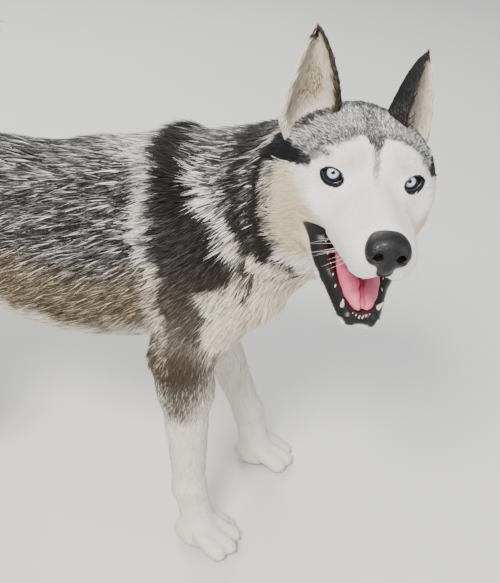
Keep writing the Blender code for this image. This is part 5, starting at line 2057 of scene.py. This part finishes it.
@dataclass
class Horns:
    """Plants tapered, bent cones on points: teeth, claws and whiskers, by one node tree."""

    name: str
    sides: int = 10
    rings: int = 8
    blunt: float = 0.12
    bend: float = 0.15

    def tree(self, finish: bpy.types.Material) -> bpy.types.NodeTree:
        """Builds the node tree.

        Args:
            finish: The material set on every cone.

        Returns:
            The tree: points with the attributes turn and size in, a plain mesh out.
        """
        sizes = {"Sides": "Int", "Rings": "Int", "Blunt": "Float", "Bend": "Float"}
        geometry = "Geometry"
        net = Wiring.group("GeometryNodeTree", self.name, {"Points": geometry, **sizes}, {"Cones": geometry})
        given = net.add("NodeGroupInput").outputs
        cone = net.add("GeometryNodeMeshCone")
        for name, value in (
            ("Vertices", given["Sides"]), ("Side Segments", given["Rings"]), ("Radius Top", given["Blunt"]),
            ("Radius Bottom", 1.0), ("Depth", 1.0),
        ):
            net.join(value, cone.inputs[name])
        split = net.add("ShaderNodeSeparateXYZ")
        net.join(net.add("GeometryNodeInputPosition").outputs[0], split.inputs[0])
        x, y, height = split.outputs
        arch = net.math("MULTIPLY", height, net.math("SUBTRACT", 1.0, height))
        bulge = net.math("ADD", 1.0, net.math("MULTIPLY", 0.55, arch))
        push = net.add("ShaderNodeCombineXYZ")
        lean = net.math("MULTIPLY", given["Bend"], net.math("MULTIPLY", height, height))
        net.join(net.math("MULTIPLY_ADD", x, bulge, lean), push.inputs[0])
        net.join(net.math("MULTIPLY", y, bulge), push.inputs[1])
        net.join(height, push.inputs[2])
        bent = net.add("GeometryNodeSetPosition")
        net.join(cone.outputs["Mesh"], bent.inputs["Geometry"])
        net.join(push.outputs[0], bent.inputs["Position"])
        planted = net.add("GeometryNodeInstanceOnPoints")
        net.join(given["Points"], planted.inputs["Points"])
        net.join(bent.outputs[0], planted.inputs["Instance"])
        for name, socket in (("turn", "Rotation"), ("size", "Scale")):
            fact = net.add("GeometryNodeInputNamedAttribute", data_type="FLOAT_VECTOR")
            fact.inputs["Name"].default_value = name
            net.join(fact.outputs["Attribute"], planted.inputs[socket])
        last = planted.outputs[0]
        for kind in ("GeometryNodeRealizeInstances", "GeometryNodeSetShadeSmooth", "GeometryNodeSetMaterial"):
            node = net.add(kind)
            net.join(last, node.inputs[0])
            last = node.outputs[0]
        node.inputs["Material"].default_value = finish
        net.join(last, net.add("NodeGroupOutput").inputs[0])
        return net.tree

    def build(self, rows: Iterator[Horn], finish: bpy.types.Material, slot: Slot) -> None:
        """Makes the piece.

        Args:
            rows: The teeth, claws or whiskers in the body's frame.
            finish: Its material.
            slot: The record's material slot; not used.
        """
        starts, turns, sizes = [], [], []
        for horn in rows:
            along = horn.tip - horn.root
            z = along.normalized()
            x = (horn.lean - z * horn.lean.dot(z)).normalized()
            starts.append(tuple(np.array(horn.root) + cad_shift()))
            turns += list(Matrix((x, z.cross(x), z)).transposed().to_euler())
            sizes += [horn.radius, horn.radius * horn.flat, along.length]
        mesh = bpy.data.meshes.new(self.name + "_roots")
        mesh.from_pydata(starts, [], [])
        for name, values in (("turn", turns), ("size", sizes)):
            mesh.attributes.new(name, "FLOAT_VECTOR", "POINT").data.foreach_set("vector", values)
        roots = bpy.data.objects.new(self.name, mesh)
        bpy.context.scene.collection.objects.link(roots)
        modifier = roots.modifiers.new("cones", "NODES")
        modifier.node_group = self.tree(finish)
        given = {"Sides": self.sides, "Rings": self.rings, "Blunt": self.blunt, "Bend": self.bend}
        for item in modifier.node_group.interface.items_tree:
            if item.in_out == "INPUT" and item.name in given:
                modifier[item.identifier] = given[item.name]
        bpy.context.view_layer.update()
        made = bpy.data.meshes.new_from_object(roots.evaluated_get(bpy.context.evaluated_depsgraph_get()))
        roots.modifiers.clear()
        roots.data = made
        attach(roots, ROOT)
        log.info("%s: %d faces", self.name, len(made.polygons))


def ring_faces(rings: int, around: int, closed: bool) -> Array:
    """Joins rings of points with faces of four corners.

    Args:
        rings: How many rings of points there are.
        around: How many points each ring has.
        closed: Whether the last ring is joined to the first.

    Returns:
        The faces, which run from each ring to the next and then round it.
    """
    k, m = np.meshgrid(np.arange(rings if closed else rings - 1), np.arange(around), indexing="ij")
    here, after, following = k * around, (k + 1) % rings * around, (m + 1) % around
    return np.stack([here + m, after + m, after + following, here + following], -1).reshape(-1, 4)


@dataclass
class Features:
    """Eyes, lid rims, nose, tongue, teeth, claws and whiskers."""

    body: BodyShape
    canine: float = 0.013
    eye_rows: int = 40
    eye_around: int = 64
    rim_steps: int = 48
    rim_around: int = 10
    rim_thick: float = 0.0009

    def eyes(self) -> None:
        """Makes the eyeballs and the black rims of their lids."""
        finish = EyeFinish("husky_eye", 0.10, 1.0).build()
        rim = WetFinish("lid_rim", 0.30, 0.6, tone=(0.006, 0.006, 0.007), other=(0.016, 0.014, 0.014)).build()
        for name, side in SIDES.items():
            self.eyeball(name, side, finish)
            self.lid_rim(name, side, rim)

    def eyeball(self, name: str, side: int, finish: bpy.types.Material) -> None:
        """Makes one eyeball, which looks at the camera.

        Args:
            name: Which eye.
            side: Its side, -1 for right and 1 for left.
            finish: Its material.
        """
        head, rows, around = self.body.head, self.eye_rows, self.eye_around
        centre = head.eye_middle(side)
        seen = Vector(np.array(CAMERA) - centre).normalized()
        ahead = (head.frame.to_3x3() @ head.eye_frame(side).to_3x3()).col[0]
        gaze = seen.lerp(ahead, 0.12 if side < 0 else 0.45).to_track_quat("Z", "Y").to_matrix()
        polar = np.pi * (np.arange(rows + 1) / rows)
        turn = math.tau * np.arange(around) / around
        bulge = head.eye_radius * (1 + 0.05 * smooth(-polar, -0.75, 0.0)) * 0.999
        wide = (np.sin(polar) * bulge)[:, None]
        high = np.repeat((np.cos(polar) * bulge)[:, None], around, 1)
        ring = np.stack([wide * np.cos(turn), wide * np.sin(turn), high], -1)
        points = centre + ring.reshape(-1, 3) @ np.array(gaze).T
        facts = {
            "ray": np.repeat(polar / (math.pi / 2), around),
            "fibre_x": np.tile(np.cos(turn), rows + 1), "fibre_y": np.tile(np.sin(turn), rows + 1),
        }
        faces = ring_faces(rows + 1, around, closed=False)
        Piece(f"eyeball_{name}", points, faces, finish, Slot.EYE, (f"eye_{name}",), facts).build()

    def lid_rim(self, name: str, side: int, finish: bpy.types.Material) -> None:
        """Sweeps a thin black tube along the edge of one eye's opening.

        Args:
            name: Which eye.
            side: Its side, -1 for right and 1 for left.
            finish: Its material.
        """
        head = self.body.head
        half, high = head.lid_half_length, head.lid_half_height
        radius = (half**2 + high**2) / (2 * high)
        share = np.linspace(0, 1, self.rim_steps, endpoint=False)
        sign = np.where(share < 0.5, 1, -1)
        y = half * np.cos(math.tau * share) * 0.985
        z = sign * (np.sqrt(np.maximum(radius**2 - y**2, 0)) - (radius - high)) * 0.985
        reach = head.eye_radius + 0.0009
        x = np.sqrt(np.maximum(reach**2 - y**2 * 0.72 - z**2, (0.30 * reach) ** 2))
        line = to_outer(to_outer(np.stack([x, y, z], 1), head.eye_frame(side)), head.frame)
        along = unit(np.roll(line, -1, 0) - np.roll(line, 1, 0))
        out = unit(line - head.eye_middle(side))
        across = np.cross(along, out)
        angles = math.tau * np.arange(self.rim_around) / self.rim_around
        ring = out[:, None] * np.cos(angles)[:, None] + across[:, None] * np.sin(angles)[:, None]
        points = (line[:, None] + self.rim_thick * ring).reshape(-1, 3)
        faces = ring_faces(self.rim_steps, self.rim_around, closed=True)[:, [0, 3, 2, 1]]
        Piece(f"lid_rim_{name}", points, faces, finish, Slot.NOSE).build()

    def nose(self, points: Array) -> Array:
        """Returns the field of the nose pad with nostrils and groove.

        Args:
            points: Places in the body's frame.
        """
        local = to_local(points, self.body.head.frame)
        made = ball((0.0905, 0, -0.0305), (0.0145, 0.0176, 0.0128))(local)
        made = blend(made, ball((0.0892, 0, -0.0425), (0.0128, 0.0096, 0.0110))(local), 0.007)
        made = blend(made, ball((0.0860, 0, -0.0245), (0.0155, 0.0150, 0.0078))(local), 0.006)
        for side in SIDES.values():
            made = blend(made, ball((0.0935, side * 0.0112, -0.0330), (0.0105, 0.0082, 0.0110))(local), 0.004)
            hole = limb((0.1050, side * 0.0092, -0.0345), (0.0850, side * 0.0118, -0.0325), 0.0036, 0.0046)
            slit = limb((0.1040, side * 0.0120, -0.0370), (0.0970, side * 0.0205, -0.0400), 0.0022, 0.0014)
            made = carve(carve(made, hole(local), 0.0015), slit(local), 0.0015)
        groove = limb((0.1075, 0, -0.0340), (0.1030, 0, -0.0490), 0.0010, 0.0012)
        return carve(made, groove(local), 0.0012)

    def tongue(self, points: Array) -> Array:
        """Returns the field of the tongue with the groove down its middle.

        Args:
            points: Places in the body's frame.
        """
        local = to_local(points, self.body.head.jaw_frame)
        made = ball((0.080, 0, 0.0060), (0.0525, 0.0205, 0.0085), (0, -2, 0))(local)
        made = blend(made, ball((0.036, 0, 0.0100), (0.040, 0.0150, 0.0085))(local), 0.012)
        made = carve(made, limb((0.020, 0, 0.0185), (0.132, 0, 0.0085), 0.0030, 0.0022)(local), 0.004)
        return made + 0.0003 * Noise(0.010, 71).read(local)

    def drawn(
        self, name: str, place: Matrix, low: Triple, high: Triple, cell: float, finish: WetFinish, slot: Slot
    ) -> None:
        """Draws one small form as a piece that replaces the node of the same name.

        Args:
            name: nose or tongue.
            place: The frame that the grid's corners are given in.
            low: The grid's lowest corner.
            high: Its highest corner.
            cell: The size of its cells.
            finish: The piece's finish.
            slot: The record's material slot.
        """
        box = np.array([place @ Vector(c) for c in itertools.product(*zip(low, high))])
        form = {"nose": self.nose, "tongue": self.tongue}[name]
        points, faces = Net(tuple(box.min(0)), tuple(box.max(0)), cell).draw(form)
        Piece(name + "_pad", points, faces, finish.build(), slot, (name,)).build()

    def teeth(self) -> Iterator[Horn]:
        """Yields the teeth of the lower jaw, and the upper ones that the lips leave showing."""
        jaw, skull, back = self.body.head.jaw_frame, self.body.head.frame, Vector((-1, 0, 0))

        def tooth(root: Triple, tip: Triple, radius: float, flat: float) -> Horn:
            """Makes one tooth that leans back."""
            return Horn(Vector(root), Vector(tip), radius, back, flat)

        for k in range(6):
            spread = (k - 2.5) * 0.0031
            front = self.body.head.jaw_length - 0.0035 - 0.45 * abs(spread)
            yield tooth((front - 0.001, spread, -0.004), (front + 0.001, spread, 0.0050), 0.0017, 0.85).moved(jaw)
        for side in SIDES.values():
            tip = (0.1262, side * 0.0182, self.canine)
            yield tooth((0.1225, side * 0.0150, -0.004), tip, 0.0036, 0.8).moved(jaw)
            for k in range(5):
                x, y = 0.106 - 0.0115 * k, side * (0.0228 + 0.0020 * k)
                tip = (x - 0.001, y * 0.94, 0.0052 + 0.0008 * k)
                yield tooth((x, y, -0.004), tip, 0.0040, 0.5).moved(jaw)
            root, tip = (0.070, side * 0.0165, -0.050), (0.0730, side * 0.0170, -0.0600)
            yield tooth(root, tip, 0.0032, 0.8).moved(skull)
            for k in range(4):
                x, y = 0.050 - 0.0135 * k, side * (0.0225 + 0.0022 * k)
                yield tooth((x, y, -0.048), (x, y * 0.9, -0.0530), 0.0046, 0.5).moved(skull)

    def claws(self) -> Iterator[Horn]:
        """Yields the four claws of every paw."""
        for _, place, size in self.body.paws():
            for (reach, spread), side in itertools.product(self.body.toes, SIDES.values()):
                root = Vector(((reach + 0.003) * size, side * spread * size, 0.0140))
                tip = Vector(((reach + 0.0150) * size, side * spread * size, 0.0056))
                yield Horn(root, tip, 0.0024, Vector((0, 0, -1)), 0.75).moved(place)

    def whiskers(self) -> Iterator[Horn]:
        """Yields the whiskers of muzzle and brows."""
        chance = np.random.default_rng(81)
        head = self.body.head.frame
        for side in SIDES.values():
            for row, column in itertools.product(range(3), range(4)):
                shake = chance.uniform(-1, 1, 4)
                x, y = 0.072 - 0.008 * column + 0.002 * row, side * (0.0300 + 0.0012 * column)
                root = Vector((x, y, -0.037 - 0.0065 * row)) + Vector((0.003 * shake[0], 0, 0.002 * shake[1]))
                length = 0.020 + 0.0075 * column * (0.9 + 0.3 * shake[2])
                back, down = 0.5 + 0.3 * column - 0.3 * shake[3], 0.35 + 0.20 * row - 0.35 * shake[1]
                way = Vector((-back, side, -down)).normalized()
                yield Horn(root, root + way * length, 0.00016, Vector((-1, 0, -0.6))).moved(head)
            for k in range(2):
                root = Vector((0.004 + 0.003 * k, side * (0.030 + 0.003 * k), 0.0245 - 0.001 * k))
                way = Vector((0.3, side * 0.25, 1.0 - 0.2 * k)).normalized()
                yield Horn(root, root + way * (0.020 + 0.002 * k), 0.00013, Vector((-1, 0, 0))).moved(head)

    def build(self) -> None:
        """Makes every feature."""
        head = self.body.head
        self.eyes()
        nose = WetFinish(
            "nose_skin", 0.42, 0.06, specular=0.28, tone=(0.0045, 0.0045, 0.005), other=(0.012, 0.011, 0.012),
            patch=120, grain=1100, depth=0.0004,
        )
        self.drawn("nose", head.frame, (0.062, -0.027, -0.058), (0.112, 0.027, -0.008), 0.0009, nose, Slot.NOSE)
        tongue = WetFinish(
            "tongue_skin", 0.42, 0.18, specular=0.35, subsurface=0.15, tone=(0.52, 0.085, 0.145),
            other=(0.62, 0.15, 0.22), patch=60, grain=1300, depth=0.0003,
        )
        low, high = (-0.012, -0.026, -0.012), (0.134, 0.026, 0.030)
        self.drawn("tongue", head.jaw_frame, low, high, 0.0014, tongue, Slot.TONGUE)
        ivory = WetFinish(
            "tooth", 0.28, 0.5, tone=(0.74, 0.66, 0.47), other=(0.82, 0.77, 0.62),
            patch=200, grain=300, depth=0.0001, strength=0.1,
        )
        Horns("teeth", 12, 10, 0.16, 0.35).build(self.teeth(), ivory.build(), Slot.EYE)
        horn = WetFinish(
            "claw", 0.40, 0.2, tone=(0.15, 0.12, 0.10), other=(0.34, 0.28, 0.22),
            patch=160, grain=500, depth=0.0001, strength=0.2,
        )
        Horns("claws", 12, 10, 0.15, 0.8).build(self.claws(), horn.build(), Slot.NOSE)
        hair = WetFinish("whisker", 0.45, 0.0, tone=(0.72, 0.71, 0.68), other=(0.80, 0.79, 0.76), strength=0.0)
        Horns("whiskers", 4, 8, 0.25, 18.0).build(self.whiskers(), hair.build(), Slot.WHITE)


@dataclass(frozen=True)
class Lamp:
    """One soft round light: where it hangs, how wide and strong it is, and its tint."""

    name: str
    place: Triple
    size: float
    power: float
    tint: Triple


@dataclass
class Studio:
    """The pale floor, the soft light and the camera at the photograph's angle."""

    pitch: float = 30.6
    roll: float = 5.6
    lens: float = 55.57
    sensor: float = 36.0
    daylight: float = 0.80
    target: Triple = (0.1, 0, 0.35)
    floor_rings: tuple[tuple[float, float], ...] = ((6.0, 0.0), (7.2, 0.35), (8.0, 1.4), (8.2, 5.0))
    floor_sides: int = 64
    lamps: tuple[Lamp, ...] = (
        Lamp("key", (-0.5, -2.0, 2.5), 0.9, 150, (1.0, 0.97, 0.93)),
        Lamp("fill", (2.4, -1.4, 1.6), 2.0, 28, (0.93, 0.96, 1.0)),
        Lamp("rim", (-0.8, 2.4, 2.4), 1.8, 70, (1.0, 0.98, 0.95)),
    )

    def build(self) -> None:
        """Makes floor, lights and camera."""
        self.floor()
        self.lights()
        self.camera()

    def camera(self) -> None:
        """Sets up the camera at the photograph's place and angle."""
        data = bpy.data.cameras.new("camera")
        data.lens, data.sensor_width, data.sensor_fit = self.lens, self.sensor, "AUTO"
        data.clip_start, data.clip_end = 0.02, 60
        camera = bpy.data.objects.new("camera", data)
        pitch, roll = math.radians(self.pitch), math.radians(self.roll)
        ahead = Vector((0, math.cos(pitch), -math.sin(pitch)))
        across, up = Vector((1, 0, 0)), Vector((0, math.sin(pitch), math.cos(pitch)))
        right = across * math.cos(roll) + up * math.sin(roll)
        above = up * math.cos(roll) - across * math.sin(roll)
        turn = Matrix((right, above, -ahead)).transposed().to_4x4()
        camera.matrix_world = Matrix.Translation(Vector(CAMERA) + Vector(cad_shift())) @ turn
        bpy.context.scene.collection.objects.link(camera)
        bpy.context.scene.camera = camera

    def floor(self) -> None:
        """Makes a pale floor that runs up into a wall far behind on every side."""
        bm = bmesh.new()
        middle = bm.verts.new((0, 0, 0))
        turns = np.linspace(0, math.tau, self.floor_sides, endpoint=False)
        rings = [
            [bm.verts.new((radius * math.cos(a), radius * math.sin(a), height)) for a in turns]
            for radius, height in self.floor_rings
        ]
        for k in range(self.floor_sides):
            after = (k + 1) % self.floor_sides
            bm.faces.new((middle, rings[0][k], rings[0][after]))
            for first, second in zip(rings, rings[1:]):
                bm.faces.new((first[k], second[k], second[after], first[after]))
        bmesh.ops.recalc_face_normals(bm, faces=bm.faces[:])
        mesh = bpy.data.meshes.new("floor")
        bm.to_mesh(mesh)
        bm.free()
        mesh.shade_smooth()
        material, net, shader = Finish("studio_floor", 0.75, specular=0.2).start()
        shade = net.mix(net.noise(net.place(), 3.0, 3.0), (0.70, 0.69, 0.67, 1), (0.74, 0.73, 0.71, 1))
        net.join(shade, shader.inputs["Base Color"])
        mesh.materials.append(material)
        floor = bpy.data.objects.new("floor", mesh)
        bpy.context.scene.collection.objects.link(floor)
        floor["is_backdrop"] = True

    def lights(self) -> None:
        """Hangs the soft lights and a pale surround."""
        world = bpy.data.worlds.new("surround")
        bpy.context.scene.world = world
        world.use_nodes = True
        sky = world.node_tree.nodes["Background"].inputs
        sky["Color"].default_value, sky["Strength"].default_value = (0.90, 0.95, 1.0, 1), self.daylight
        for lamp in self.lamps:
            light = bpy.data.lights.new(lamp.name, "AREA")
            light.shape, light.size, light.energy, light.color = "DISK", lamp.size, lamp.power, lamp.tint
            made = bpy.data.objects.new(lamp.name, light)
            made.location = lamp.place
            ahead = Vector(self.target) - Vector(lamp.place)
            made.rotation_euler = ahead.to_track_quat("-Z", "Y").to_euler()
            bpy.context.scene.collection.objects.link(made)


def main() -> None:
    """Builds the studio, then the model piece by piece."""
    logging.basicConfig(level=logging.INFO, format="%(message)s")
    log.info("shift %s", cad_shift())
    head, tail = HeadShape(), TailShape()
    body = BodyShape(head)
    plan, marks = CoatPlan(body), Markings(body, tail)
    shape = SkinShape(body, plan)
    Studio().build()
    skin = SkinFinish("husky_skin", specular=0.25).build()
    hair = HairFinish("husky_coat", 0.58, specular=0.12).build()
    Features(body).build()
    Ears(head).build(skin, hair)
    skins = Skin(shape, marks, tail).build(skin)
    Coat(plan, marks, tail, shape, hair).build(skins)


def write_sizes() -> None:
    """Works out the CAD's box and the visual model's box."""
    boxes = [[list(corner) for corner in box] for box in (CAD_BOX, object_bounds())]


if __name__ == "__main__":
    main()
    write_sizes()
